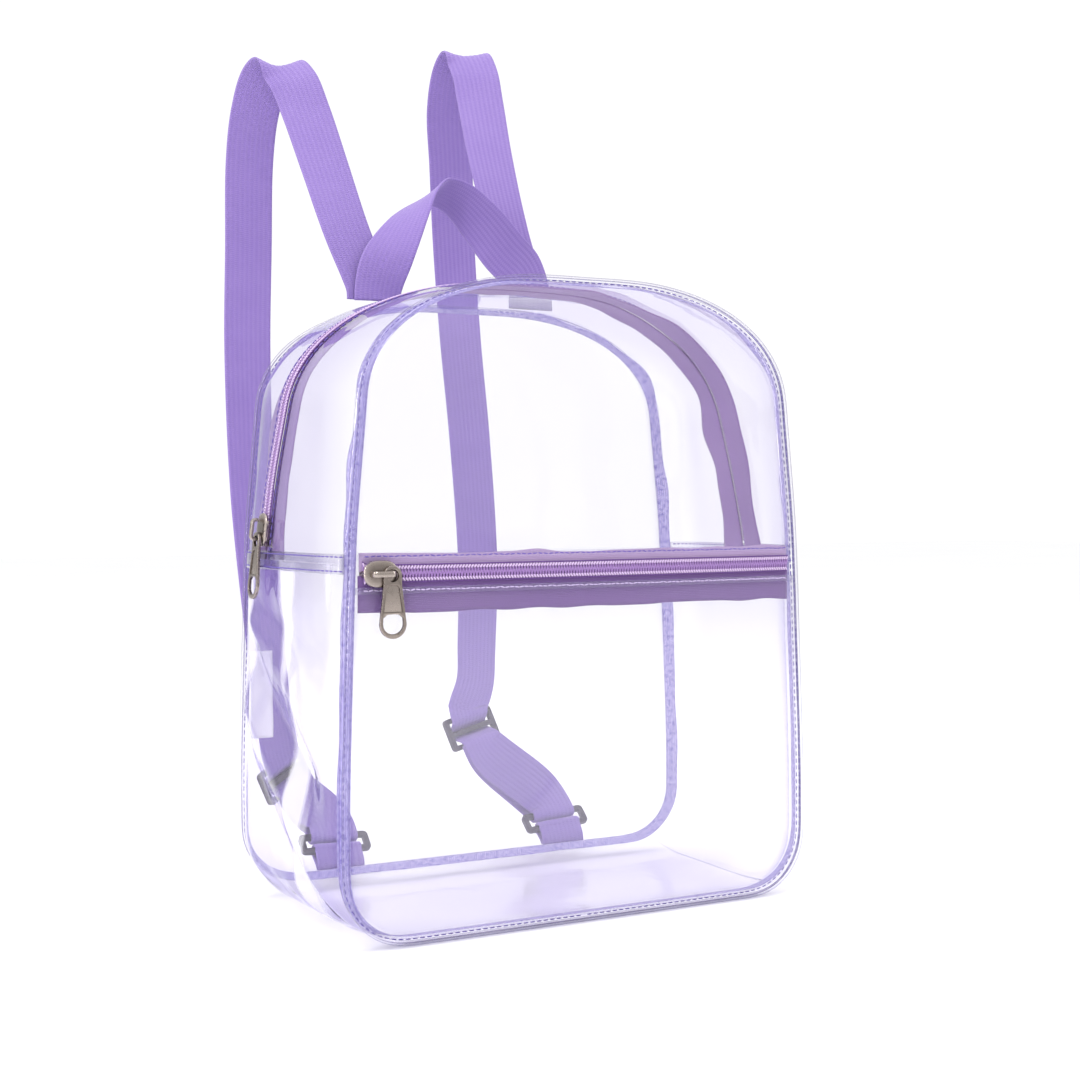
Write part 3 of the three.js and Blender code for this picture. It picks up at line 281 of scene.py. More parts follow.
class Graph:
    """Node graph of a material or of the world, built from its inputs to its output."""

    def __init__(self, owner, output="ShaderNodeOutputMaterial"):
        self.owner = bpy.data.materials.new(owner) if isinstance(owner, str) else owner
        self.owner.use_nodes = True
        self.tree = self.owner.node_tree
        self.tree.nodes.clear()
        self.output = self.tree.nodes.new(output)

    def feed(self, socket, value):
        if isinstance(value, bpy.types.NodeSocket):
            self.tree.links.new(value, socket)
        else:
            socket.default_value = value

    def node(self, kind, settings=None, **inputs):
        node = self.tree.nodes.new(kind)
        for key, value in (settings or {}).items():
            setattr(node, key, value)
        for key, value in inputs.items():
            numbered = key[0] == "i" and key[1:].isdigit()
            self.feed(node.inputs[int(key[1:]) if numbered else key.replace("_", " ")], value)
        return node

    def math(self, operation, a, b=0.0):
        return self.node("ShaderNodeMath", {"operation": operation}, i0=a, i1=b).outputs[0]

    def mix(self, factor, a, b):
        node = self.tree.nodes.new("ShaderNodeMix")
        node.data_type = "RGBA"
        for at, value in ((0, factor), (6, a), (7, b)):
            self.feed(node.inputs[at], value)
        return node.outputs[2]

    def blend(self, factor, a, b):
        return self.node("ShaderNodeMixShader", i0=factor, i1=a, i2=b).outputs[0]

    def range(self, value, low, high, start=0.0, end=1.0):
        return self.node("ShaderNodeMapRange", Value=value, i1=low, i2=high, i3=start, i4=end).outputs[0]

    def noise(self, vector, scale=1.0, detail=2.0, roughness=0.5, settings=None, **more):
        return self.node("ShaderNodeTexNoise", settings, Vector=vector, Scale=scale, Detail=detail,
                         Roughness=roughness, **more).outputs[0]

    def bump(self, height, strength, distance, **more):
        values = {"Height": height, "Strength": strength, "Distance": distance, **more}
        return self.node("ShaderNodeBump", **values).outputs[0]

    def lean(self, turn, scale):
        """Object coordinates turned about the side-to-side axis, then stretched."""
        place = self.node("ShaderNodeTexCoord").outputs["Object"]
        return self.node("ShaderNodeMapping", Vector=place, Rotation=(turn, 0, 0), Scale=scale).outputs[0]

    def coords(self, scale):
        return self.lean(0, scale)

    def finish(self, shader):
        self.tree.links.new(shader, self.output.inputs[0])
        return self.owner


PER_METRE = (1000, 1000, 1000)
CREASE_LEAN = math.radians(-24)


def film_material(name, clear, edge, gloss=0.05, bump=0.15, cells=(22, 22, 22), veil=0.0, crease=0.0):
    """Thin clear sheet: straight-through light with a tint that deepens where it is seen edge on."""
    g = Graph(name)
    lumps = g.bump(g.noise(g.coords(cells), roughness=0.55), bump, 0.002)
    seen = g.node("ShaderNodeLayerWeight", Blend=0.5)
    if crease > 0:
        # Long sharp creases that run down and forwards
        ridged = {"noise_type": "RIDGED_MULTIFRACTAL"}
        ridge = g.noise(g.lean(CREASE_LEAN, (14, 46, 9)), settings=ridged)
        lumps = g.bump(ridge, crease, 0.004, Normal=lumps)
        g.feed(seen.inputs["Normal"], lumps)
    share = g.range(seen.outputs["Facing"], 0.3, 1.0)
    if crease > 0:
        # Painted shade and painted highlight: lavender streaks of shade and milky white ridge highlights,
        # laid along the same creases
        crease_shade_and_highlight = g.noise(g.lean(CREASE_LEAN, (9, 30, 4)), detail=2.5, Distortion=0.3)
        # Painted shade: streaks of deeper lavender tint along the creases
        share = g.math("MAXIMUM", share, g.range(crease_shade_and_highlight, 0.54, 0.64, 0.0, 0.34))
    through = g.node("ShaderNodeBsdfTransparent", Color=g.mix(share, clear, edge)).outputs[0]
    shine = g.node("ShaderNodeBsdfGlossy", Color=(1, 1, 1, 1), Roughness=gloss, Normal=lumps).outputs[0]
    fresnel = g.node("ShaderNodeFresnel", IOR=1.45, Normal=lumps).outputs[0]
    # Only the faces turned outwards shine, because the sheet has two of them and no glass between
    inside = g.node("ShaderNodeNewGeometry").outputs["Backfacing"]
    body = g.blend(g.math("MULTIPLY", fresnel, g.math("SUBTRACT", 1.0, inside)), through, shine)
    if veil > 0:
        body = g.blend(veil, body, g.node("ShaderNodeBsdfDiffuse", Color=(0.74, 0.7, 0.9, 1)).outputs[0])
    if crease > 0:
        # Painted highlight: a near-white diffuse laid along the crease ridges
        painted_highlight = g.node("ShaderNodeBsdfDiffuse", Color=(0.95, 0.94, 0.98, 1)).outputs[0]
        body = g.blend(g.range(crease_shade_and_highlight, 0.37, 0.43, 0.4, 0.0), body, painted_highlight)
    return g.finish(body)


def cloth_material(name, colour, dark, across, along, rough=0.8, ribs=0.5, alpha=1.0, mottle=None):
    """Woven band whose UV runs in millimetres: ribs lengthwise with a fine weft between them."""
    g = Graph(name)
    uv = g.node("ShaderNodeTexCoord").outputs["UV"]
    split = g.node("ShaderNodeSeparateXYZ", Vector=uv)
    u, v = split.outputs[0], split.outputs[1]
    rib = g.math("SINE", g.math("MULTIPLY", u, 2 * math.pi / across))
    side = g.math("SIGN", g.math("SINE", g.math("MULTIPLY", u, math.pi / across)))
    shift = g.math("MULTIPLY", side, 1.57)
    weft = g.math("SINE", g.math("ADD", g.math("MULTIPLY", v, 2 * math.pi / along), shift))
    weave = g.math("ADD", g.math("MULTIPLY", rib, ribs), g.math("MULTIPLY", weft, 0.5))
    fuzz = g.noise(uv, 2.2, 4.0, 0.7)
    patch = g.noise(uv, 0.06)
    height = g.math("ADD", weave, g.math("MULTIPLY", fuzz, 0.7))
    normal = g.bump(height, 0.35, 0.00025)
    shade = g.math("ADD", g.math("MULTIPLY", g.range(weave, -1.0, 1.0), 0.8), g.math("MULTIPLY", patch, 0.3))
    tone = g.mix(shade, dark, colour)
    if mottle is not None:
        tone = g.mix(g.range(g.noise(uv, 0.42, 5.0, 0.75), 0.46, 0.62), tone, mottle)
    shader = g.node("ShaderNodeBsdfPrincipled", Base_Color=tone, Roughness=rough, Normal=normal)
    shader.inputs["Sheen Weight"].default_value = 0.25
    shader.inputs["Sheen Roughness"].default_value = 0.5
    shader.inputs["Sheen Tint"].default_value = (0.93, 0.9, 1.0, 1.0)
    shader.inputs["Specular IOR Level"].default_value = 0.25
    if alpha < 1:
        holes = g.math("ADD", g.math("MULTIPLY", weft, 0.12), g.math("MULTIPLY", rib, 0.12))
        g.tree.links.new(g.math("ADD", holes, alpha), shader.inputs["Alpha"])
    return g.finish(shader.outputs[0])


def plastic_material(name, colour, rough=0.35, bump=0.1, coat=0.0):
    g = Graph(name)
    noise = g.noise(g.coords(PER_METRE), detail=3.0)
    normal = g.bump(noise, bump, 0.0002)
    low = tuple(c * 0.8 for c in colour[:3]) + (1.0,)
    tone = g.mix(noise, low, colour)
    shader = g.node("ShaderNodeBsdfPrincipled", Base_Color=tone, Roughness=rough, Normal=normal)
    shader.inputs["Coat Weight"].default_value = coat
    return g.finish(shader.outputs[0])


def metal_material(name):
    """Antique nickel: smooth, brown-grey, darker in its hollows, with fine scratches."""
    g = Graph(name)
    place = g.coords(PER_METRE)
    stain = g.noise(place, 0.35, 4.0, 0.6)
    worn = g.node("ShaderNodeNewGeometry").outputs["Pointiness"]
    base = g.mix(stain, srgb(78, 69, 64), srgb(114, 103, 98))
    tone = g.mix(g.range(worn, 0.48, 0.56), base, srgb(172, 161, 154))
    rough = g.range(stain, 0.3, 0.7, 0.2, 0.38)
    normal = g.bump(g.noise(place, 3.5), 0.12, 0.0001)
    shader = g.node("ShaderNodeBsdfPrincipled", Base_Color=tone, Metallic=1.0, Roughness=rough, Normal=normal)
    return g.finish(shader.outputs[0])


CLEAR = (0.994, 0.992, 0.999, 1)
EDGE = (0.86, 0.84, 0.95, 1)
VEIL = 0.022
CRUMPLED = (30, 30, 30)
WEB_WEAVE = (2.5, 1.05, 0.85, 0.35)
TAPE_WEAVE = (0.8, 0.5, 0.75, 0.3)

film = film_material("clear_film", CLEAR, EDGE, veil=VEIL)
base_film = film_material("base_film", CLEAR, (0.93, 0.915, 0.97, 1), 0.17, 0.3, CRUMPLED, VEIL)
creased = film_material("creased_film", CLEAR, (0.74, 0.7, 0.9, 1), 0.05, 0.35, CRUMPLED, VEIL, crease=1.0)
arched = film_material("arched_film", CLEAR, (0.8, 0.77, 0.93, 1), 0.05, 0.35, CRUMPLED, VEIL)
fin_film = film_material("seam_film", (0.95, 0.945, 0.97, 1), (0.5, 0.48, 0.62, 1), 0.08, 0.2, veil=0.03)
binding_mesh = cloth_material("binding_mesh", srgb(206, 199, 238), srgb(168, 157, 216), 1.3, 1.1, 0.7, 0.5,
                              alpha=0.66, mottle=srgb(122, 108, 190))
webbing = cloth_material("lilac_webbing", srgb(150, 128, 189), srgb(124, 101, 172), *WEB_WEAVE)
# Darker copy of the webbing: painted shade for the ends in the top seam
webbing_seam_shade = cloth_material("doubled_webbing", srgb(112, 88, 156), srgb(88, 66, 136), *WEB_WEAVE)
tape_dark = cloth_material("purple_tape", srgb(124, 94, 148), srgb(102, 74, 134), *TAPE_WEAVE)
tape_main = cloth_material("main_tape", srgb(152, 126, 172), srgb(126, 98, 152), *TAPE_WEAVE)
tape_pale = cloth_material("pale_tape", srgb(184, 162, 196), srgb(156, 130, 176), *TAPE_WEAVE)
label_cloth = cloth_material("label_cloth", srgb(246, 245, 248), srgb(226, 224, 232), 0.7, 0.6, 0.8, 0.3)
coil_nylon = plastic_material("lilac_nylon", srgb(156, 120, 184), 0.35, coat=0.25)
# Deep purple for the cord that paints the shadow line under each coil row
coil_shadow_line = plastic_material("deep_nylon", srgb(104, 66, 140), 0.5)
braid_pale = plastic_material("pale_braid", srgb(214, 188, 228), 0.4, coat=0.2)
thread_pale = plastic_material("pale_thread", srgb(206, 186, 228), 0.6)
thread_dark = plastic_material("purple_thread", srgb(108, 90, 176), 0.6)
dark_plastic = plastic_material("dark_plastic", srgb(46, 39, 44), 0.42, bump=0.2)
nickel = metal_material("antique_nickel")


# Film panels

def sheet(name, outer, inner, node=None, slot="film", material=film, uv=None, closed=False):
    points, faces, pairs = slab(outer, inner, closed, uv)
    return make(name, points, faces, [node] if node else [], slot=slot, material=material, uv=pairs)


def flat_rows(low, high):
    """Heights for a flat panel: its two ends and the outline's own rows between them."""
    ups = OUTLINE[(OUTLINE[:, 1] > low + 0.4) & (OUTLINE[:, 1] < high - 0.4), 1]
    ups = np.unique(np.round(np.concatenate([[low], ups, [high]]), 3))
    keep = [ups[0]]
    for up in ups[1:-1]:
        if up - keep[-1] > 0.35:
            keep.append(up)
    return np.array(keep + [ups[-1]])


def layers(x, y, z):
    """Grid of points from three arrays that are spread to one shape."""
    return np.stack(np.broadcast_arrays(x, y, z), -1)


ACROSS = np.linspace(-1, 1, 41)[None, :]
FREE_MIDDLE = np.clip(1 - np.abs(ACROSS) ** 6, 0, 1)


def front_sheet(name, low, high, node, seed):
    rows = outline_at(flat_rows(low, high))
    up = rows[:, 1:2]
    y = front_face(ACROSS, up) + 0.2
    slack = FREE_MIDDLE * np.clip((up - low) / 12, 0, 1) * np.clip((high - up) / 12, 0, 1)
    y = y + 0.7 * soft_noise(y.shape, (5, 5), seed) * slack
    grid = layers(ACROSS * rows[:, :1], y, up)
    sheet(name, grid, grid + [0, SHEET, 0], node)


pocket_top = POCKET_COIL_UP - COIL_HALF - GAP - LOWER_LIP
upper_tape_low = POCKET_COIL_UP + COIL_HALF + GAP
upper_panel_low = upper_tape_low + UPPER_TAPE - UPPER_LAP
lower_tape_high = POCKET_COIL_UP - COIL_HALF - GAP
tape_depth = FILM + GAP

front_sheet("front_upper_film", upper_panel_low, TOP - SETBACK, "front_upper_panel", 3)
front_sheet("front_pocket_film", STAND + SETBACK, pocket_top, "front_pocket_panel", 5)


def divider_sheet():
    edge = FILM + BINDING_THICK + GAP * 2
    top = upper_tape_low + UPPER_TAPE
    rows = outline_at(flat_rows(STAND + GAP, top + edge * 0.1))
    half = rows[:, :1] - edge * np.abs(rows[:, 2:3])
    up = np.clip(rows[:, 1:2] - edge * rows[:, 3:4], None, top)
    rise = np.clip((up - up.min()) / DIVIDER_RAMP, 0, 1)
    lip = np.clip((top - up) / DIVIDER_LIP, 0, 1) * np.clip((up - up.min()) / 3, 0, 1)
    deep = edge + (DIVIDER_BACK - edge + DIVIDER_RECESS * rise * (1 - np.abs(ACROSS) ** 5)) * lip
    y = front_face(ACROSS, up) + deep
    grid = layers(ACROSS * half, y, up)
    sheet("pocket_divider_film", grid, grid + [0, SHEET, 0], "pocket_divider")


divider_sheet()


def back_sheet():
    rows = outline_at(flat_rows(STAND + SETBACK, TOP - SETBACK))
    up = gusset(rows, 1.0, np.array([BACK_SEAM]), 0.0)[:, :, 2]
    v = (2 * rows[:, 1:2] - HEIGHT) / HEIGHT
    y = HALF_DEPTH + BACK_DOME * np.clip(1 - ACROSS ** 2, 0, None) * np.clip(1 - v * v, 0, None)
    y = y + 0.8 * soft_noise(y.shape, (6, 5), 9) * FREE_MIDDLE - 0.2
    x = BACK_SHIFT + ACROSS * rows[:, :1] * (1 + BACK_GROW)
    grid = layers(x, y, up)
    sheet("back_film", grid, grid - [0, SHEET, 0], "back_panel")


back_sheet()


# Gusset film

FOLDS = [(0.47, -0.1, 0.03, -0.2), (0.4, -0.22, 0.035, 0.28), (0.32, -0.3, 0.04, -0.42),
         (0.23, -0.34, 0.035, 0.3), (0.15, -0.3, 0.03, -0.34)]


def creases(up, t, seed, count, deep):
    """Sharp slanting creases of a slack sheet."""
    pick = np.random.default_rng(seed)
    total = np.zeros(np.broadcast(up, t).shape)
    for _ in range(count):
        place, lean = pick.uniform(0.04, 0.52), pick.uniform(-0.45, 0.2)
        wide, size = pick.uniform(0.006, 0.02), pick.uniform(-1, 1) * deep
        middle, reach = pick.uniform(0.2, 0.8), pick.uniform(0.15, 0.45)
        away = (up / HEIGHT - place - lean * (0.5 - t)) / wide
        total += size * np.exp(-np.abs(away)) * np.exp(-((t - middle) / reach) ** 2)
    return total


def side_folds(up, t):
    edge = np.minimum(t - 0.1, 0.9 - t)
    fade = np.clip(edge / 0.12, 0, 1) * np.clip((SEAM_UP - BAND_TALL - up) / 20, 0, 1)
    total = 0.0
    for place, lean, wide, deep in FOLDS:
        total = total + deep * SIDE_BULGE * np.exp(-((up / HEIGHT - place - lean * (0.5 - t)) / wide) ** 2)
    return (total + creases(up, t, 21, 26, 1.3)) * fade


CORNER_UP = STAND + CORNER * (1 - math.cos(math.radians(30)))
ups = OUTLINE[:, 1]
side_rows = OUTLINE[(ups > CORNER_UP + 0.2) & (ups < SEAM_UP - 0.4) & (OUTLINE[:, 2] > 0.2)]
side_rows = np.vstack([outline_at(CORNER_UP + 0.15), side_rows, outline_at(SEAM_UP - GAP / 2)])


def refined(rows, times):
    """Outline rows with more rows between them."""
    n = len(rows)
    at = np.linspace(0, n - 1, (n - 1) * times + 1)
    return sample(at, np.arange(n), rows)


def side_sheet(name, side, node, material):
    rows = refined(side_rows, 2 if side < 0 else 1)
    t = np.linspace(0, 1, 65 if side < 0 else 33)[None, :]
    y = np.repeat(FRONT_SEAM + t * (BACK_SEAM - FRONT_SEAM), len(rows), 0)
    if side < 0:
        fold = side_folds(rows[:, 1:2], t)
    else:
        fade = np.clip(np.minimum(t, 1 - t) / 0.15, 0, 1) * np.clip((SEAM_UP - rows[:, 1:2]) / 20, 0, 1)
        fold = (creases(rows[:, 1:2], t, 33, 8, 0.7) + 1.2 * soft_noise(y.shape, (5, 3), 4)) * fade
    outer, inner = (gusset(rows, side, y, lift, fold) for lift in (-0.1, -0.1 - SHEET))
    sheet(name, outer, inner, node, material=material)


side_sheet("left_side_film", -1.0, "left_lower_gusset", creased)
side_sheet("right_side_film", 1.0, "right_lower_gusset", film)


def base_sheet():
    half = OUTLINE[(OUTLINE[:, 1] < CORNER_UP - 0.2) & (OUTLINE[:, 0] < HALF - 5)]
    half = np.vstack([half, outline_at(CORNER_UP - 0.15)])
    rows = np.vstack([half[::-1], half[1:]])
    side = np.concatenate([-np.ones(len(half)), np.ones(len(half) - 1)])
    y = np.linspace(FRONT_SEAM, BACK_SEAM, 33)
    outer, inner = (gusset(rows, side, y, lift) for lift in (0.0, -SHEET))
    sheet("base_film", outer, inner, "bottom_gusset", material=base_film)


base_sheet()

# Arch of the gusset, from the left seam over the top to the right seam
half_arch = np.vstack([outline_at(SEAM_UP + GAP / 2), OUTLINE[OUTLINE[:, 1] > SEAM_UP + 1]])
arch = np.vstack([half_arch, half_arch[::-1][1:]])
arch_side = np.concatenate([-np.ones(len(half_arch)), np.ones(len(half_arch) - 1)])
arch_line = np.column_stack([arch_side * arch[:, 0], arch[:, 1]])
arch_run = lengths(arch_line)
ROUTE = np.array([[0, 0.36], [0.1, 0.3], [0.2, 0.12], [0.3, -0.08], [0.4, -0.18], [0.5, -0.18],
                  [0.6, -0.06], [0.7, 0.12], [0.78, 0.12], [0.88, -0.06], [1, -0.2]])
coil_y = HALF_DEPTH * np.interp(arch_run / arch_run[-1], ROUTE[:, 0], ROUTE[:, 1])
for _ in range(14):
    coil_y[1:-1] = (coil_y[:-2] + 2 * coil_y[1:-1] + coil_y[2:]) / 4


def arch_point(run, y, lift):
    """Points of the arch at distances along it (n,), with depths (n, m)."""
    rows = sample(run, arch_run, arch)
    x = np.interp(run, arch_run, arch_line[:, 0])
    rows[:, 0] = np.abs(x)
    return gusset(rows, np.where(x < 0, -1.0, 1.0), y, lift)


def arch_sheet(name, is_front, node):
    share = np.linspace(0, 1, 15)[None, :]
    edge = (coil_y + (-SLIT_HALF if is_front else SLIT_HALF))[:, None]
    fixed = FRONT_SEAM if is_front else BACK_SEAM
    y = fixed + (edge - fixed) * share
    wave = 0.9 * soft_noise(y.shape, (14, 3), 11 if is_front else 12)
    wave = wave * np.sin(math.pi * share) * np.sin(math.pi * arch_run / arch_run[-1])[:, None] ** 0.3
    outer, inner = (gusset(arch, arch_side, y, lift, wave) for lift in (-0.1, -0.1 - SHEET))
    sheet(name, outer, inner, node, material=arched)


arch_sheet("upper_front_film", True, "upper_gusset_front")
arch_sheet("upper_back_film", False, "upper_gusset_back")


def cross_band(name, side, node):
    low, high = SEAM_UP - BAND_TALL / 2, SEAM_UP + BAND_TALL / 2
    rows = outline_at(np.linspace(low, high, 7))
    y = FRONT_SEAM + np.linspace(0.035, 0.965, 41) * (BACK_SEAM - FRONT_SEAM)
    wave = 0.25 * soft_noise((7, 41), (2, 9), 15)
    outer, inner = (gusset(rows, side, y, GAP + lift, wave) for lift in (0.7, 0.2))
    sheet(name, outer, inner, node, material=fin_film)
    lines = [gusset(outline_at(up), side, y, GAP + 0.95)[0] for up in (low + 1.2, high - 1.2)]
    starts, ends = zip(*(along_line(line, 2.9, 2.3) for line in lines))
    rods(name + "_stitches", np.vstack(starts), np.vstack(ends), 0.32, thread_dark, "binding")


cross_band("left_cross_strip", -1.0, "left_cross_band")
cross_band("right_cross_strip", 1.0, "right_cross_band")


# Seams round the front and the back

loop = np.vstack([OUTLINE, OUTLINE[::-1][1:-1]])
loop_side = np.concatenate([np.ones(len(OUTLINE)), -np.ones(len(OUTLINE) - 2)])
loop_run = np.arange(len(loop)) * OUTLINE_STEP


def seam(word, is_front):
    at = FRONT_SEAM if is_front else BACK_SEAM
    inward = 1.0 if is_front else -1.0
    face = at - inward * (FILM + GAP + WELT_FORWARD)

    def ring(depth, lift):
        return gusset(loop, loop_side, np.atleast_1d(at + inward * depth), lift)

    # Fin of film that stands out from the seam: lift from the body, depth from its face
    section = np.array([(0.35, 0.2), (1.4, 0), (2.5, 0.25), (2.8, 1.0), (2.75, 2.6),
                        (2.3, 3.4), (1.7, 3.3), (1.9, 1.6), (0.8, 1.1), (0.35, 1.0)])
    rings = np.stack([ring(0, lift)[:, 0] for lift, _ in section], 1)
    rings[:, :, 1] = face + inward * section[:, 1]
    wave = 0.18 * np.sin(loop_run / 9.0) + 0.12 * np.sin(loop_run / 3.7 + 1)
    rings[:, 3:6, 1] += (wave * inward)[:, None] * 0.6
    index = np.arange(rings.shape[0] * rings.shape[1]).reshape(rings.shape[:2])
    nxt = np.roll(index, -1, 0)
    faces = np.stack([index, np.roll(index, -1, 1), np.roll(nxt, -1, 1), nxt], -1).reshape(-1, 4)
    make(f"{word}_seam_fin", rings.reshape(-1, 3), faces, [f"{word}_welt"], slot="film", material=fin_film)

    # Lavender binding inside the gusset, with a wavy free edge over the arch
    share = np.linspace(0, 1, 7)[None, :]
    top = np.clip((loop[:, 1] - 150) / 80, 0, 1)[:, None]
    ripple = (0.16 * np.sin(loop_run / 11.0) + 0.1 * np.sin(loop_run / 5.3 + 2))[:, None]
    width = BINDING_WIDE * 0.82 * (1.0 + ripple * (0.3 + top))
    y = at + inward * (0.4 + width * share)
    lift = -FILM - GAP + 0.25 + 0.35 * np.sin(loop_run / 6.1)[:, None] * share * top
    outer, inner = (gusset(loop, loop_side, y, lift - thick) for thick in (0, 0.35))
    uv = layers(share * BINDING_WIDE, loop_run[:, None], y)[..., :2]
    sheet(f"{word}_binding_strip", outer, inner, f"{word}_binding", "binding", binding_mesh, uv, closed=True)

    line = ring(2.3, 0.25)[:, 0]
    a, b = along_line(np.vstack([line, line[:1]]), 3.4, 2.4)
    rods(f"{word}_seam_stitches", a, b, 0.3, thread_dark, "binding")

    # The folded edge of the film beside the stitches
    fold = np.array([4.6, 4.9, 5.2])
    edge, raised = ring(fold, 0.0), ring(fold, 0.35)
    raised[:, 0] = edge[:, 0] + (raised[:, 0] - edge[:, 0]) * 0.4
    raised[:, 2] = edge[:, 2] + (raised[:, 2] - edge[:, 2]) * 0.4
    sheet(f"{word}_fold_line", raised, edge, material=fin_film, closed=True)


seam("front", True)
seam("back", False)


# Zippers: two rows of nylon loops, sewn to the tapes by bright thread

TOOTH_PITCH = 1.42
# What each loop shows: start and end given as across, outwards and along, in millimetres
TOOTH = ((-0.75, -0.05, 0.0), (3.3, -0.1, 0.3))
BRAID = ((1.85, 0.42, -0.6), (3.25, 0.3, 0.6))
# A dark cord along the outer edge of each row: painted shadow line under the row
SHADOW_CORD = ((3.62, 0.02, -0.9), (3.62, 0.02, 0.9))


def coil_pieces(name, line, across, normal, nodes, half=0):
    """line, across and normal are (n, 3) along the chain, the across pointing to one side.

    half is 1 or -1 for one open side alone, which then keeps only that side's row.
    """
    run = lengths(line)
    frames = []
    for row, shift in ((1.0, 0.0), (-1.0, 0.5)):
        if half and row != half:
            continue
        at = np.arange(0.6 + shift * TOOTH_PITCH, run[-1] - 0.6, TOOTH_PITCH)
        middle = sample(at, run, line)
        ahead = unit(sample(np.minimum(at + 0.1, run[-1]), run, line) - middle)
        frames.append((middle, sample(at, run, across) * row, sample(at, run, normal), ahead))

    def ends(piece):
        for aside, proud, on in piece:
            yield np.vstack([m + side * aside + up * proud + ahead * on for m, side, up, ahead in frames])

    rods(name, *ends(TOOTH), 0.52, coil_nylon, "coil", sides=6, replaces=nodes)
    rods(name + "_braid", *ends(BRAID), 0.48, braid_pale, "coil", sides=6)
    rods(name + "_shadow_cord", *ends(SHADOW_CORD), 0.3, coil_shadow_line, "coil")


coil_rows = outline_at(np.linspace(40, 230, 60))
pocket_slider_x = POCKET_SLIDER_IN - np.interp(POCKET_COIL_UP, coil_rows[:, 1], coil_rows[:, 0])
pocket_half = float(outline_at(POCKET_COIL_UP)[0, 0])
TAPE_IN = FILM + BINDING_THICK + GAP * 2
coil_reach = pocket_half - TAPE_IN


def pocket_chain(name, x, rise, proud, nodes, half=0):
    y = front_face(x / coil_reach, POCKET_COIL_UP) + proud
    line = layers(x, y, POCKET_COIL_UP + rise)
    up, out = (np.tile(way, (len(x), 1)) for way in ([0, 0, 1.0], [0, -1.0, 0]))
    coil_pieces(name, line, up, out, nodes, half)


def pocket_tape(name, low, high, material, slot, node, free_low, seed):
    u = np.linspace(-1, 1, 121)[:, None]
    share = np.linspace(0, 1, 9)[None, :]
    wave = soft_noise((121, 1), (16, 1), seed)
    free = (1 - share) if free_low else share
    z = low + (high - low) * share + wave * (0.5 if free_low else 0.9) * free
    half = outline_at((low + high) / 2)[0, 0] - TAPE_IN
    y = front_face(u, z) + tape_depth + 0.2 + 0.35 * soft_noise((121, 9), (20, 2), seed + 1) * free
    grid = layers(u * half, y, z)
    uv = layers(z - low, u * half, z)[..., :2]
    sheet(name, grid, grid + [0, 0.45, 0], node, slot, material, uv)


def pocket_stitches(name, z, pitch, long, radius, material, slot):
    half = outline_at(z)[0, 0]
    x = np.linspace(-1, 1, 200) * (half - 4)
    zigzag = z + 0.35 * np.sin(np.arange(200) * 1.9)
    starts, ends = along_line(np.stack([x, front_face(x / half, z) - 0.15, zigzag], 1), pitch, long)
    rods(name, starts, ends, radius, material, slot)


def pocket_zip():
    first = pocket_slider_x - SLIDER_LONG / 2 + POST + GAP * 2
    pocket_chain("pocket_coil", np.linspace(first, coil_reach, 120), 0, 0.45, ["pocket_zip_coil"])
    # The open ends beside the slider part towards the seam
    x = np.linspace(pocket_slider_x - SLIDER_LONG * 0.3, 0.8 - coil_reach, 24)
    part = np.linspace(0, 1, 24) ** 1.3
    for word, sign in (("upper", 1), ("lower", -1)):
        pocket_chain(f"pocket_coil_{word}", x, sign * (0.3 + 1.5 * part), 0.55, [], half=sign)
    hidden = 3.2
    pocket_tape("pocket_lower_band", lower_tape_high - TAPE_WIDE, lower_tape_high + hidden, tape_dark, "tape",
                "pocket_lower_tape", True, 41)
    pocket_tape("pocket_upper_band", upper_tape_low - hidden, upper_tape_low + UPPER_TAPE, tape_pale,
                "pale_tape", "pocket_upper_tape", False, 43)
    pocket_stitches("pocket_lip_stitches", pocket_top - 1.3, 2.5, 2.2, 0.34, thread_pale, "coil")
    pocket_stitches("upper_panel_stitches", upper_panel_low + 1.2, 2.9, 2.3, 0.28, thread_dark, "binding")
    # Turned edge of the film above the pocket
    u = np.linspace(-1, 1, 81)[:, None]
    half = outline_at(pocket_top)[0, 0]
    share = np.linspace(0, 1, 4)[None, :]
    z = np.broadcast_to(pocket_top - 2.9 + 2.9 * share, (81, 4))
    y = front_face(u, z) - 0.35 * np.sin(math.pi * (0.15 + 0.7 * share))
    grid = layers(u * (half - 0.4), y, z)
    sheet("pocket_lip", grid, grid + [0, 0.3, 0], material=fin_film)


pocket_zip()


def main_tape(word, sign, seed):
    run = np.linspace(0, arch_run[-1], 260)
    share = np.linspace(0, 1, 9)[None, :]
    centre = np.interp(run, arch_run, coil_y)[:, None]
    ruffle = 1.0 + 0.2 * soft_noise((260, 1), (20, 1), seed)
    y = centre + sign * (0.9 + (TAPE_WIDE + 2.8) * ruffle * share)
    slack = 0.5 + 0.9 * soft_noise((260, 9), (26, 2), seed + 1)
    lift = -FILM - GAP - 0.15 - np.clip(share - 0.35, 0, 1) * slack
    outer, inner = arch_point(run, y, lift), arch_point(run, y, lift - 0.45)
    uv = layers(share * TAPE_WIDE, run[:, None], y)[..., :2]
    sheet(f"main_{word}_band", outer, inner, f"main_{word}_tape", "pale_tape", tape_main, uv)
    a, b = along_line(arch_point(run, centre + sign * (SLIT_HALF + 1.9), 0.2)[:, 0], 3.4, 2.4)
    rods(f"main_{word}_stitches", a, b, 0.28, thread_dark, "binding")


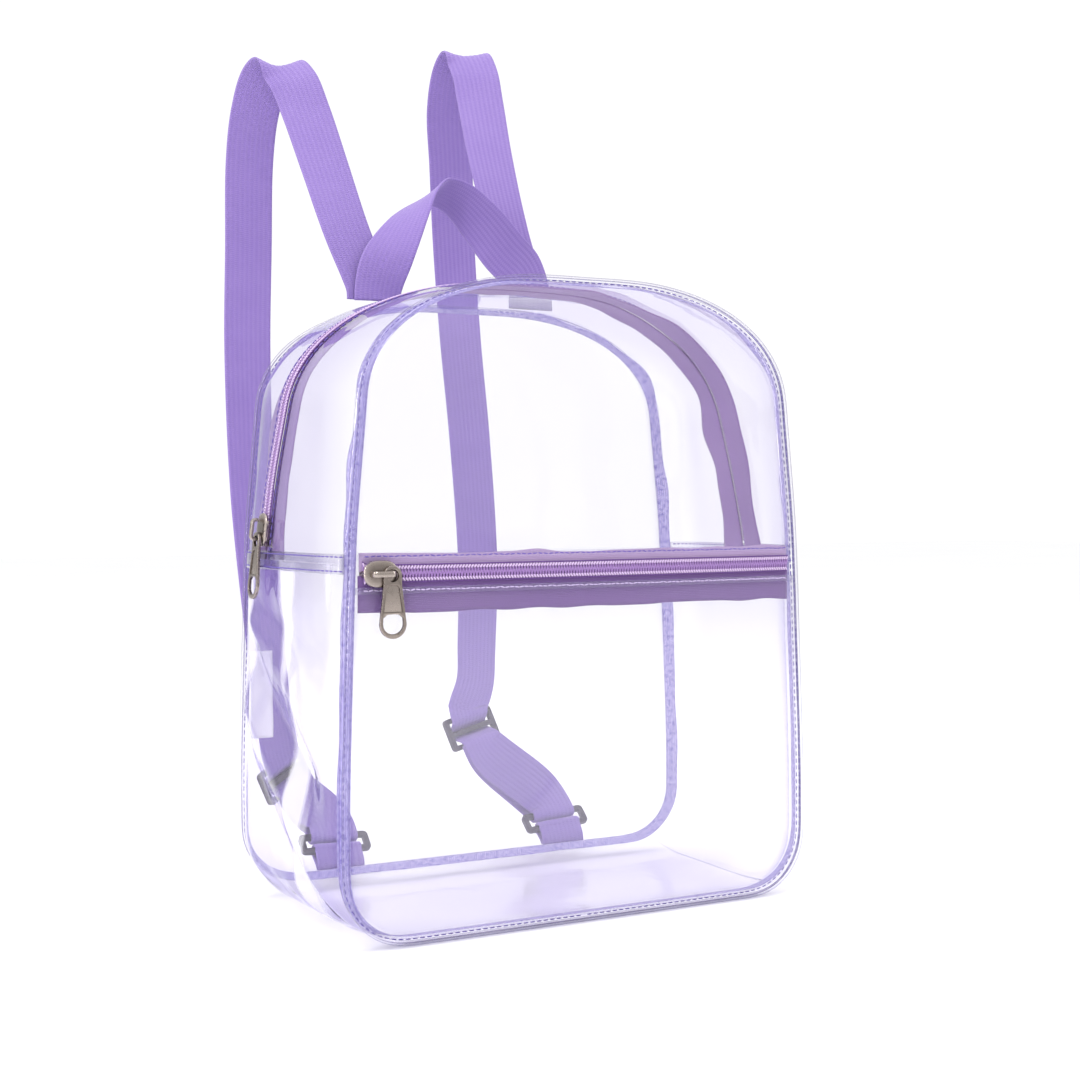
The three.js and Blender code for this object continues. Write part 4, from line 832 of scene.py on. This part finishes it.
def main_zip():
    post_up = MAIN_SLIDER_UP - SLIDER_LONG / 2 + POST + GAP * 2
    run = np.linspace(post_up - SEAM_UP, arch_run[-1] - (BAND_TALL / 2 + GAP), 420)
    y = np.interp(run, arch_run, coil_y)[:, None]
    places = ((0, 0.15), (2, 0.15), (0, 1.15))
    middle, left, above = (arch_point(run, y - aside, lift)[:, 0] for aside, lift in places)
    coil_pieces("main_coil", middle, unit(middle - left), above - middle, ["main_zip_coil"])
    main_tape("front", -1.0, 51)
    main_tape("back", 1.0, 57)


main_zip()


# Sliders and pulls, built in their own frame: chain along X, face towards -Y

coil_front = -GAP * 2
back_plate_y = tape_depth + TAPE_THICK + GAP * 2
face_plate_y = coil_front - GAP * 2 - PLATE
pull_eye = PULL_HEAD / 2 - PULL_RIM
pull_drop = pull_eye - math.hypot(CROWN_WIDE / 2, CROWN_LEG / 2) - GAP
pivot_x = CROWN_LONG / 2 - CROWN_LEG / 2
pull_y = face_plate_y - GAP - PULL_THICK


def rounded(long, wide, power, count):
    """Points of a rounded oblong, which nears a rectangle as the power grows."""
    a = np.linspace(0, 2 * math.pi, count, endpoint=False)
    share = 2 / power
    return np.stack([long / 2 * np.sign(np.cos(a)) * np.abs(np.cos(a)) ** share,
                     wide / 2 * np.sign(np.sin(a)) * np.abs(np.sin(a)) ** share], 1)


def loft(sections):
    """Rings of equal count joined in turn, with both ends closed."""
    rings = np.stack(sections)
    n, m = rings.shape[:2]
    index = np.arange(n * m).reshape(n, m)
    a, b = index[:-1], index[1:]
    faces = np.stack([a, np.roll(a, -1, 1), np.roll(b, -1, 1), b], -1).reshape(-1, 4).tolist()
    faces += [list(reversed(range(m))), list(range((n - 1) * m, n * m))]
    return rings.reshape(-1, 3), faces


def plate(long, wide, y0, y1, dome):
    """Rounded oval plate between two depths, domed towards its first face."""
    sign = 1.0 if y1 > y0 else -1.0
    levels = [(0.3, y0 - sign * dome), (0.62, y0 - sign * dome * 0.8), (0.86, y0 - sign * dome * 0.2),
              (0.96, y0 + sign * 0.25), (1.0, (y0 + y1) / 2), (0.96, y1 - sign * 0.2), (0.85, y1)]
    rings = []
    for scale, y in levels:
        p = rounded(long * scale, wide * scale, 2.6, 28)
        rings.append(np.stack([p[:, 0], np.full(len(p), y), p[:, 1]], 1))
    return loft(rings)


def bent_bar(points, wide, thick):
    """Bar of rounded section that follows points in the XY plane."""
    points = np.array(points, float)
    along = unit(np.gradient(points, axis=0))
    normal = np.stack([-along[:, 1], along[:, 0]], 1)
    section = rounded(wide, thick, 3.2, 12)
    rings = [np.column_stack([point + section[:, 1:] * n, section[:, 0]]) for point, n in zip(points, normal)]
    return loft(rings)


def joined(parts):
    points, faces, start = [], [], 0
    for p, f in parts:
        points.append(p)
        faces += [[i + start for i in face] for face in f]
        start += len(p)
    return np.vstack(points), faces


def slider_solid(post_side):
    half_crown = CROWN_LONG / 2 - CROWN_LEG / 2
    top = face_plate_y - CROWN_ROOM - PULL_THICK - CROWN_THICK / 2 + PLATE * 0.25
    foot, bend = face_plate_y + PLATE * 0.5, 1.6
    arc = [(half_crown - bend * (1 - math.cos(a)), top + bend * (1 - math.sin(a)))
           for a in np.linspace(math.pi / 2, 0, 6)]
    path = [(-half_crown, foot)] + [(-x, y) for x, y in reversed(arc)] + arc + [(half_crown, foot)]
    post_x = post_side * (SLIDER_LONG / 2 - POST / 2 - GAP)
    ring = rounded(POST, COIL_WIDE * 0.4, 2.6, 12)
    post = [np.stack([ring[:, 0] + post_x, np.full(12, y), ring[:, 1]], 1)
            for y in np.linspace(face_plate_y + 0.3, back_plate_y + PLATE * 0.5, 4)]
    rim = bent_bar([(x * SLIDER_LONG, face_plate_y + PLATE * 0.8) for x in (-0.3, 0.0, 0.3)], 0.9, 1.3)
    rims = [(rim[0] + [0, 0.3, sign * SLIDER_WIDE * 0.43], rim[1]) for sign in (-1, 1)]
    return joined([plate(SLIDER_LONG, SLIDER_WIDE, face_plate_y, face_plate_y + PLATE, 0.35),
                   plate(SLIDER_LONG, SLIDER_WIDE * 0.86, back_plate_y + PLATE * 0.75, back_plate_y, 0.0),
                   bent_bar(path, CROWN_WIDE, CROWN_THICK), loft(post), *rims])


def arc_points(wide, tall, middle, start, end, count):
    return [(wide * math.cos(a), middle + tall * math.sin(a)) for a in np.linspace(start, end, count)]


def pull_solid():
    """Tapered plate with an eye at the top, a large round-ended hole below and a sunk panel between."""
    eye_up = -pull_drop
    h, w = PULL_HEAD / 2, PULL_TAIL / 2
    foot = eye_up + h - PULL_LONG
    low, high, turn = foot + w, eye_up - h, math.pi
    taper = [(h + (w - h) * share, high + (low - high) * share) for share in np.linspace(0, 1, 5)]
    outer = arc_points(h, h, eye_up, 0, turn, 13) + [(-x, z) for x, z in taper]
    outer += arc_points(w, w, low, turn, 2 * turn, 15)[1:] + taper[::-1][1:]
    eye = arc_points(pull_eye, pull_eye, eye_up, 0, 2 * turn, 17)[:-1]
    r = w - PULL_RIM
    hole = arc_points(r, r * 0.9, low, turn, 2 * turn, 10)
    crest = ((0.97, 0.55), (0.6, 0.86), (0, 0.9), (-0.6, 0.86), (-0.97, 0.55))
    hole += [(r * x, low + r * z) for x, z in crest]
    panel_top, panel_low = eye_up - pull_eye - 1.5, low + r * 0.9 + 0.9

    def side(z):
        return h + (w - h) * np.clip((high - z) / (high - low), 0, 1) - 1.35

    wide, narrow = side(panel_low), side(panel_top)
    panel = [(-wide, panel_low), (wide, panel_low), (narrow, panel_top - 1.0), (narrow * 0.6, panel_top),
             (-narrow * 0.6, panel_top), (-narrow, panel_top - 1.0)]
    return outer, eye, hole, panel


def curve_mesh(loops, low, high, bevel):
    """Plate with holes from a filled curve, as points and faces: outline in XZ, thickness along Y."""
    curve = bpy.data.curves.new("plate_outline", "CURVE")
    curve.dimensions = "2D"
    curve.fill_mode = "BOTH"
    curve.extrude = (high - low) / 2 - bevel
    curve.bevel_depth = bevel
    curve.bevel_resolution = 2
    for points in loops:
        spline = curve.splines.new("POLY")
        spline.points.add(len(points) - 1)
        for target, (x, z) in zip(spline.points, points):
            target.co = (x, z, 0, 1)
        spline.use_cyclic_u = True
    holder = bpy.data.objects.new("plate_outline", curve)
    bpy.context.scene.collection.objects.link(holder)
    bpy.context.view_layer.update()
    mesh = holder.to_mesh()
    points = np.array([v.co for v in mesh.vertices])
    faces = [list(p.vertices) for p in mesh.polygons]
    holder.to_mesh_clear()
    bpy.data.objects.remove(holder)
    middle = (low + high) / 2
    points = np.stack([points[:, 0], middle - points[:, 2], points[:, 1]], 1)
    return points, faces


def shrunk(loop, by):
    """Loop moved inwards (or outwards, for a negative amount) along its normals."""
    p = np.array(loop, float)
    along = unit(np.roll(p, -1, 0) - np.roll(p, 1, 0))
    area = np.sum(p[:, 0] * np.roll(p[:, 1], -1) - np.roll(p[:, 0], -1) * p[:, 1])
    inward = np.stack([-along[:, 1], along[:, 0]], 1) * (1 if area > 0 else -1)
    return (p + inward * by).tolist()


def settle(obj, matrix_mm):
    """Welds a mesh, keeps its sharp edges and moves it by a 4x4 matrix whose lengths are millimetres."""
    fix = bmesh.new()
    fix.from_mesh(obj.data)
    bmesh.ops.remove_doubles(fix, verts=fix.verts, dist=0.00002)
    bmesh.ops.recalc_face_normals(fix, faces=fix.faces)
    fix.to_mesh(obj.data)
    fix.free()
    obj.data.shade_smooth()
    obj.data.set_sharp_from_angle(angle=math.radians(38))
    matrix = Matrix(matrix_mm)
    matrix.translation = matrix.translation * 0.001
    obj.data.transform(matrix)


def build_slider(word, matrix, post_side):
    node = f"{word}_zip_slider"
    obj = make(f"{word}_slider", *slider_solid(post_side), [node], slot="metal", material=nickel)
    settle(obj, matrix)


def build_pull(word, matrix):
    outer, eye, hole, panel = pull_solid()
    bevel = 0.32
    loops = [shrunk(outer, bevel)] + [shrunk(gap, -bevel) for gap in (eye, hole, panel)]
    rim = curve_mesh(loops, 0.0, PULL_THICK, bevel)
    sunk = curve_mesh([shrunk(panel, -bevel * 1.5)], 0.42, PULL_THICK - 0.2, 0.05)
    node, body = f"{word}_zip_pull", f"{word}_pull"
    obj = make(body, *joined([rim, sunk]), [node], body=body, slot="metal", material=nickel)
    settle(obj, matrix)


def basis(x, y, z, origin):
    return [[x[k], y[k], z[k], origin[k]] for k in range(3)] + [[0, 0, 0, 1]]


def hardware():
    y = float(front_face(pocket_slider_x / pocket_half, POCKET_COIL_UP))
    seat = np.array([pocket_slider_x, y, POCKET_COIL_UP])
    build_slider("pocket", basis(*np.eye(3), seat), -1)
    build_pull("pocket", basis(*np.eye(3), seat + [pivot_x, pull_y, 0]))

    def course(up):
        run = up - SEAM_UP
        y = HALF_DEPTH * np.interp(run / arch_run[-1], ROUTE[:, 0], ROUTE[:, 1])
        return gusset(outline_at(up), -1.0, np.array([y]), 0.0)[0, 0]

    seat = course(MAIN_SLIDER_UP)
    up_along = unit(course(MAIN_SLIDER_UP + SLIDER_LONG) - seat)
    row = outline_at(MAIN_SLIDER_UP)[0]
    out = np.array([-row[2], 0, row[3]])
    out = unit(out - up_along * (out @ up_along))
    x, y = -up_along, -out
    z = np.cross(x, y)
    build_slider("main", basis(x, y, z, seat), 1)
    pivot = next(joint for joint in frame["joints"] if joint["name"] == "main_pull_swing")["pos_m"]
    # The pull hangs plumb on its crown, while the slider leans with the film
    turn = math.atan2(x[2], z[2])
    c, s = math.cos(turn), math.sin(turn)
    build_pull("main", basis(c * x - s * z, y, s * x + c * z, np.array(pivot) * 1000))


hardware()


# Webbing

def turned(yaw, tilt):
    a, b = math.radians(yaw), math.radians(tilt)
    return np.array([math.cos(a) * math.cos(b), math.sin(a) * math.cos(b), math.sin(b)])


def cubic(x0, x1, t0, t1, s):
    return x0 + t0 * s + (-3 * x0 + 3 * x1 - 2 * t0 - t1) * s ** 2 + (2 * x0 - 2 * x1 + t0 + t1) * s ** 3


def spline(points, steps, centripetal):
    """Smooth curve through points; centripetal keeps it from looping where they lie close."""
    p = np.array(points, float)
    p = np.vstack([2 * p[0] - p[1], p, 2 * p[-1] - p[-2]])
    last = len(p) - 4
    result = []
    for k in range((last + 1) * steps + 1):
        at = k / steps
        i = min(int(at), last)
        p0, p1, p2, p3 = p[i:i + 4]
        if centripetal:
            d0, d1, d2 = (np.linalg.norm(b - a) ** 0.5 for a, b in ((p0, p1), (p1, p2), (p2, p3)))
            d1 = d1 if d1 > 1e-4 else 1.0
            d0 = d0 if d0 > 1e-4 else d1
            d2 = d2 if d2 > 1e-4 else d1
            t1 = ((p1 - p0) / d0 - (p2 - p0) / (d0 + d1) + (p2 - p1) / d1) * d1
            t2 = ((p2 - p1) / d1 - (p3 - p1) / (d1 + d2) + (p3 - p2) / d2) * d1
        else:
            t1, t2 = 0.5 * (p2 - p0), 0.5 * (p3 - p1)
        result.append(cubic(p1, p2, t1, t2, at - i))
    return np.array(result)


# Rows of share across, back and up, with the heading in degrees
LEFT_STRAP = [
    (-0.43, 0, 1.0015, 0), (-0.43, 0, 1.01, 0), (-0.434, 0.004, 1.025, 0), (-0.452, 0.02, 1.05, -2),
    (-0.502, 0.09, 1.12, -6), (-0.545, 0.28, 1.245, -14), (-0.585, 0.42, 1.345, -22),
    (-0.622, 0.5, 1.405, -25), (-0.657, 0.6, 1.432, -27), (-0.69, 0.71, 1.415, -26),
    (-0.71, 0.81, 1.36, -22), (-0.712, 0.9, 1.28, -16), (-0.708, 0.95, 1.12, -10), (-0.722, 0.93, 0.94, -6),
    (-0.745, 0.78, 0.68, 4), (-0.775, 0.5, 0.46, 16), (-0.79, 0.32, 0.32, 24)]
RIGHT_STRAP = [
    (0.335, 0, 1.0015, 0), (0.335, 0, 1.01, 0), (0.333, 0.004, 1.025, 0), (0.312, 0.02, 1.06, 0),
    (0.27, 0.045, 1.1, -1), (0.235, 0.1, 1.18, -3), (0.235, 0.27, 1.3, -12), (0.25, 0.42, 1.4, -22),
    (0.252, 0.5, 1.46, -26), (0.245, 0.6, 1.495, -27), (0.235, 0.71, 1.475, -26), (0.24, 0.82, 1.41, -20),
    (0.28, 0.91, 1.31, -14), (0.308, 0.95, 1.15, -8), (0.298, 0.84, 0.97, -4), (0.262, 0.62, 0.77, 0),
    (0.215, 0.4, 0.54, 6), (0.165, 0.29, 0.39, 10), (0.14, 0.245, 0.325, 12)]
WELT_MIDDLE = HALF_DEPTH + WELT_FORWARD - WELT_DEEP / 2
STACK = WEB_THICK + GAP
STRAP_PLANE = WELT_MIDDLE + STACK / 2
BAR_STEP = GLIDE_SLOT + FIT_BAR
GLIDE_LONG = BAR_STEP * 2 + FIT_BAR
TURN_RADIUS = FIT_BAR / 2 * 1.2 + GAP * 2 + WEB_THICK / 2
RING_STEP = RING_SLOT + FIT_BAR
DOUBLE_GAP = WEB_THICK + GAP * 2
# Place by shares and turns in degrees of each adjuster, and how firmly the webbing leaves it and arrives
ADJUSTERS = {
    -1: dict(across=-0.746, up=0.182, back=0.283, turn=26.4, tilt=22, lean=-8.6, leave=21.4, arrive=43.8),
    1: dict(across=0.107, up=0.242, back=0.212, turn=13.5, tilt=11, lean=-20, leave=27.8, arrive=41.5),
}


def strap_point(across, back, up):
    return np.array([across * WIDTH / 2, STRAP_PLANE + back * STRAP_REACH, up * HEIGHT])


def fitting_frame(centre, turn, tilt, lean):
    u = turned(turn, tilt)
    down = np.array([0, 0, -1.0])
    v = unit(down - u * (down @ u))
    a = math.radians(lean)
    v = v * math.cos(a) + np.cross(u, v) * math.sin(a)
    return centre, u, v, unit(-np.cross(u, v))


def in_frame(f, v, w):
    return f[0] + f[2] * v + f[3] * w


def ring_frame(side):
    behind = HALF_DEPTH + BACK_DOME + WELT_FORWARD + TURN_RADIUS + WEB_THICK
    low = np.array([STRAP_OFFSET + side * TAB_SPREAD / 2, behind, STAND + BACK_RISE + RING_STEP])
    f = fitting_frame(low, 0, 4 if side > 0 else -2, RING_LEAN)
    return in_frame(f, -RING_STEP, 0), f[1], f[2], f[3]


def glide_frame(side):
    a = ADJUSTERS[side]
    return fitting_frame(strap_point(a["across"], a["back"], a["up"]), a["turn"], a["tilt"], a["lean"])


def bridge(a, a_side, a_pull, b, b_side, b_pull, steps):
    points, sides = [], []
    for i in range(1, steps):
        s = i / steps
        points.append(cubic(a, b, a_pull, b_pull, s))
        sides.append(unit(a_side * (1 - s) + b_side * s))
    return points, sides


def strap_stations(side):
    table = RIGHT_STRAP if side > 0 else LEFT_STRAP
    bow, glide, ring = ADJUSTERS[side], glide_frame(side), ring_frame(side)
    places = [strap_point(*row[:3]) for row in table] + [in_frame(glide, -GLIDE_LONG * 0.62, GLIDE_WAVE)]
    headings = [turned(row[3], 0) for row in table] + [glide[1]]
    points = list(spline(places, 16, True))
    sides = list(unit(spline(headings, 16, False)))

    def add(point, across):
        points.append(point)
        sides.append(across)

    steps = 36
    for i in range(1, steps + 1):
        v = -BAR_STEP + i / steps * BAR_STEP * 2
        deep = 0.0 if v < 0 else DOUBLE_GAP / 2
        add(in_frame(glide, v, deep - (GLIDE_WAVE + deep) * math.cos(math.pi * v / BAR_STEP)), glide[1])
    leave = in_frame(glide, BAR_STEP + FIT_BAR, GLIDE_WAVE + DOUBLE_GAP)
    add(leave, glide[1])
    arrive = in_frame(ring, -FIT_BAR, TURN_RADIUS)
    pull, push = glide[2] * bow["leave"], ring[2] * bow["arrive"]
    p, s = bridge(leave, glide[1], pull, arrive, ring[1], push, 40)
    points += p + [arrive]
    sides += s + [ring[1]]
    for a in np.linspace(0, math.pi, 17):
        add(in_frame(ring, TURN_RADIUS * math.sin(a), TURN_RADIUS * math.cos(a)), ring[1])
    depart = in_frame(ring, -FIT_BAR, -TURN_RADIUS)
    finish = in_frame(glide, BAR_STEP + FIT_BAR, GLIDE_WAVE)
    add(depart, ring[1])
    p, s = bridge(depart, ring[1], -push, finish, glide[1], -pull, 40)
    points += p + [finish]
    sides += s + [glide[1]]
    add(in_frame(glide, BAR_STEP, GLIDE_WAVE), glide[1])
    return np.array(points), np.array(sides)


def tab_stations(side):
    f = ring_frame(side)
    low = (in_frame(f, RING_STEP, 0), f[1], f[2], f[3])
    seam_y = HALF_DEPTH + WELT_FORWARD + GAP + WEB_THICK / 2
    foot = [np.array([low[0][0], seam_y + layer * STACK, STAND + BACK_RISE]) for layer in (0, 1)]
    flat = turned(0, 0)
    rise, pull = np.array([0, 0, 1.0]) * TURN_RADIUS * 2, -low[2] * TURN_RADIUS * 2
    arrive = in_frame(low, 0, -TURN_RADIUS)
    p, s = bridge(foot[1], flat, rise, arrive, low[1], pull, 12)
    along = np.gradient(np.array([foot[1]] + p + [arrive]), axis=0)[1:-1]
    points, sides = [foot[1]] + p, [flat] + s
    for a in np.linspace(0, math.pi, 17):
        points.append(in_frame(low, -TURN_RADIUS * math.sin(a), -TURN_RADIUS * math.cos(a)))
        sides.append(low[1])
    share = np.linspace(0, 1, len(p) + 2)[1:-1, None]
    back = np.array(p) - unit(np.cross(along, s)) * (STACK + (TURN_RADIUS * 2 - STACK) * share)
    return np.vstack([points, back[::-1], [foot[0]]]), np.array(sides + s[::-1] + [flat])


HANDLE = [
    (-1, 0, 0, 0, -1, 0), (-1, 0.07, -0.01, 0, -1, 0), (-0.96, 0.25, -0.1, -0.2, -1, 0.1),
    (-0.83, 0.48, -0.18, -0.6, -0.8, 0.4), (-0.61, 0.74, -0.1, -0.75, -0.4, 0.7),
    (-0.38, 0.93, 0.02, -0.45, 0.1, 0.9), (-0.17, 1, 0.08, 0, 0.4, 0.9), (0.06, 0.94, 0.04, 0.4, 0.5, 0.75),
    (0.32, 0.74, -0.1, 0.6, 0.7, 0.45), (0.6, 0.48, -0.22, 0.45, 0.9, 0.2), (0.84, 0.335, -0.16, 0.2, 1, 0),
    (0.945, 0.225, -0.08, 0, 1, 0), (0.99, 0.12, -0.02, 0, 1, 0), (1, 0.03, 0, 0, 1, 0), (1, 0, 0, 0, 1, 0)]


def handle_stations():
    seat, plane = HEIGHT + GAP, WELT_MIDDLE - STACK / 2
    table = np.array(HANDLE, float)
    rough = np.column_stack([STRAP_OFFSET + table[:, 0] * HANDLE_SPREAD / 2, plane + table[:, 2] * WEB_WIDE,
                             seat + table[:, 1] * HANDLE_RISE])
    sides = []
    for i, row in enumerate(table):
        along = rough[min(i + 1, len(rough) - 1)] - rough[max(i - 1, 0)]
        sides.append(unit(np.cross(unit(along), row[3:])))
    return spline(rough, 14, True), unit(spline(sides, 14, False))


def evened(points, sides, step):
    run = lengths(points)
    even = np.linspace(0, run[-1], max(8, int(run[-1] / step)))
    return sample(even, run, points), unit(sample(even, run, sides)), even


def ribbon(name, points, sides, node, step=1.6):
    """Woven band with lengthwise ribs on both faces and rounded selvedges."""
    points, sides, run = evened(points, sides, step)
    along = unit(np.gradient(points, axis=0))
    across = unit(sides - along * np.sum(sides * along, 1, keepdims=True))
    face = np.cross(along, across)[:, None]
    u = np.linspace(-1, 1, 41)
    selvedge = np.sqrt(np.clip(1 - np.clip((np.abs(u) - 0.965) / 0.035, 0, 1) ** 2, 0.04, 1))
    rib = 0.07 * np.cos(u * WEB_WIDE * math.pi / WEB_WEAVE[0])
    thick = face * ((WEB_THICK * 0.43 + rib) * selvedge)[None, :, None]
    sag = soft_noise((len(points), 41), (max(3, int(run[-1] / 60)), 2), len(points)) * 0.12
    aside = (u * WEB_WIDE / 2)[None, :]
    middle = points[:, None] + across[:, None] * aside[..., None] + face * sag[..., None]
    uv = layers(aside, run[:, None], sag)[..., :2]
    return sheet(name, middle + thick, middle - thick, node, "webbing", webbing, uv)


SEAM_DARK = HEIGHT + 6.5


def darken_end(obj):
    """The right end at the top seam gets a darker copy of the webbing: painted shade where it lies in the
    seam.
    """
    obj.data.materials.append(webbing_seam_shade)
    for face in obj.data.polygons:
        middle = face.center * 1000
        at_seam = HEIGHT < middle.z < SEAM_DARK and middle.y < STRAP_PLANE + WEB_WIDE / 2
        if at_seam and middle.x > 0:
            face.material_index = 1


for word, side in (("left", -1), ("right", 1)):
    strap_web = ribbon(f"{word}_strap_web", *strap_stations(side), f"{word}_strap")
    ribbon(f"{word}_tab_web", *tab_stations(side), f"{word}_tab", step=0.8)
handle_web = ribbon("carry_handle_web", *handle_stations(), "carry_handle", step=1.4)
darken_end(strap_web)
darken_end(handle_web)


# Adjusters and rings stay as solids, with eased edges

for node in ("left_adjuster", "right_adjuster", "left_ring", "right_ring"):
    obj = frame["nodes"][node]
    obj.data.materials.clear()
    obj.data.materials.append(dark_plastic)
    bevel = obj.modifiers.new("eased", "BEVEL")
    bevel.width, bevel.segments, bevel.limit_method, bevel.angle_limit = 0.0005, 3, "ANGLE", math.radians(40)
    bevel.harden_normals = False
    normal = obj.modifiers.new("smooth", "WEIGHTED_NORMAL")
    normal.keep_sharp = True


# Label

def label():
    low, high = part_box("care_label")
    low, high = np.array(low) * 1000, np.array(high) * 1000
    y = (low[1] + high[1]) / 2
    s = np.linspace(0, 1, 25)[:, None]
    u = np.linspace(0, 1, 9)[None, :]
    z = high[2] + (low[2] - high[2]) * s
    curl = 0.22 * np.sin(s * 5.0) * u + 0.15 * np.sin(s * 11 + u * 2)
    x = low[0] + (high[0] - low[0]) * u + 0.0 * s
    grid = layers(x, y - 0.15 + curl, z)
    uv = layers(u * LABEL_WIDE, s * LABEL_LONG, x)[..., :2]
    sheet("side_label", grid, grid + [0, 0.3, 0], "care_label", "label", label_cloth, uv)


label()


# Floor, light and camera

def studio():
    bpy.ops.mesh.primitive_plane_add(size=12, location=(0, 0, -0.0004))
    floor = bpy.context.object
    floor.name = "floor"
    g = Graph("floor_white")
    tone = g.mix(g.noise(g.coords((3, 3, 3))), (0.93, 0.93, 0.935, 1), (0.96, 0.96, 0.965, 1))
    floor.data.materials.append(g.finish(g.node("ShaderNodeBsdfDiffuse", Color=tone).outputs[0]))

    world = bpy.data.worlds.new("studio")
    bpy.context.scene.world = world
    g = Graph(world, "ShaderNodeOutputWorld")
    seen = g.node("ShaderNodeBackground", i0=(1, 1, 1, 1), i1=1.05).outputs[0]
    place = g.node("ShaderNodeTexCoord").outputs["Generated"]
    height = g.node("ShaderNodeSeparateXYZ", i0=place).outputs[2]
    ramp = g.node("ShaderNodeValToRGB", i0=g.range(height, -1.0, 1.0))
    stops = [(0.0, 0.95), (0.46, 0.95), (0.5, 0.72), (0.54, 0.66), (0.6, 0.95), (0.8, 1.0), (1.0, 0.95)]
    elements = ramp.color_ramp.elements
    for at, value in stops[1:-1]:
        elements.new(at)
    for element, (at, value) in zip(elements, stops):
        element.position = at
        element.color = (value, value, value, 1)
    glow = g.node("ShaderNodeBackground", i0=ramp.outputs[0], i1=1.0).outputs[0]
    g.finish(g.blend(g.node("ShaderNodeLightPath").outputs["Is Glossy Ray"], seen, glow))

    def lamp(name, place, aim, size, power):
        data = bpy.data.lights.new(name, "AREA")
        data.shape = "RECTANGLE"
        data.size, data.size_y = size
        data.energy = power
        obj = bpy.data.objects.new(name, data)
        obj.location = place
        obj.rotation_euler = (Vector(aim) - Vector(place)).to_track_quat("-Z", "Y").to_euler()
        bpy.context.scene.collection.objects.link(obj)

    lamp("key", (-1.1, -0.9, 1.3), (0, 0, 0.2), (0.5, 1.0), 10.5)
    lamp("side", (1.3, -0.6, 0.8), (0, 0, 0.2), (0.25, 1.2), 5)
    lamp("top", (0.0, 0.1, 1.6), (0, 0, 0.2), (0.9, 0.5), 6)
    lamp("strip", (-1.5, 0.25, 0.6), (-0.1, 0, 0.15), (0.12, 1.2), 5)


studio()


# The photograph's frame and focal length in pixels, and the camera's place in metres and turns in degrees
FRAME_PIXELS, FOCAL_PIXELS, SENSOR = 1080, 1703.3, 36.0
CAMERA_PLACE = (-0.3925, -0.7277, 0.1886)
CAMERA_TURNS = (28.93, -1.12, -0.34)


def camera():
    data = bpy.data.cameras.new("photo_view")
    data.sensor_width = SENSOR
    data.lens = FOCAL_PIXELS / FRAME_PIXELS * SENSOR
    data.clip_start, data.clip_end = 0.01, 30.0
    obj = bpy.data.objects.new("photo_view", data)
    bpy.context.scene.collection.objects.link(obj)
    yaw, pitch, roll = (math.radians(turn) for turn in CAMERA_TURNS)
    forward = Vector((math.sin(yaw) * math.cos(pitch), math.cos(yaw) * math.cos(pitch), math.sin(pitch)))
    right = forward.cross(Vector((0, 0, 1))).normalized()
    up = right.cross(forward)
    c, s = math.cos(roll), math.sin(roll)
    right, up = right * c + up * s, up * c - right * s
    turn = Matrix((right, up, -forward)).transposed()
    obj.matrix_world = Matrix.Translation(Vector(CAMERA_PLACE)) @ turn.to_4x4()
    bpy.context.scene.camera = obj


camera()
scene = bpy.context.scene
scene.view_settings.view_transform = "Standard"
scene.view_settings.look = "None"
scene.cycles.transparent_max_bounces = 40
scene.cycles.max_bounces = 4
scene.cycles.diffuse_bounces = 2
scene.cycles.glossy_bounces = 2
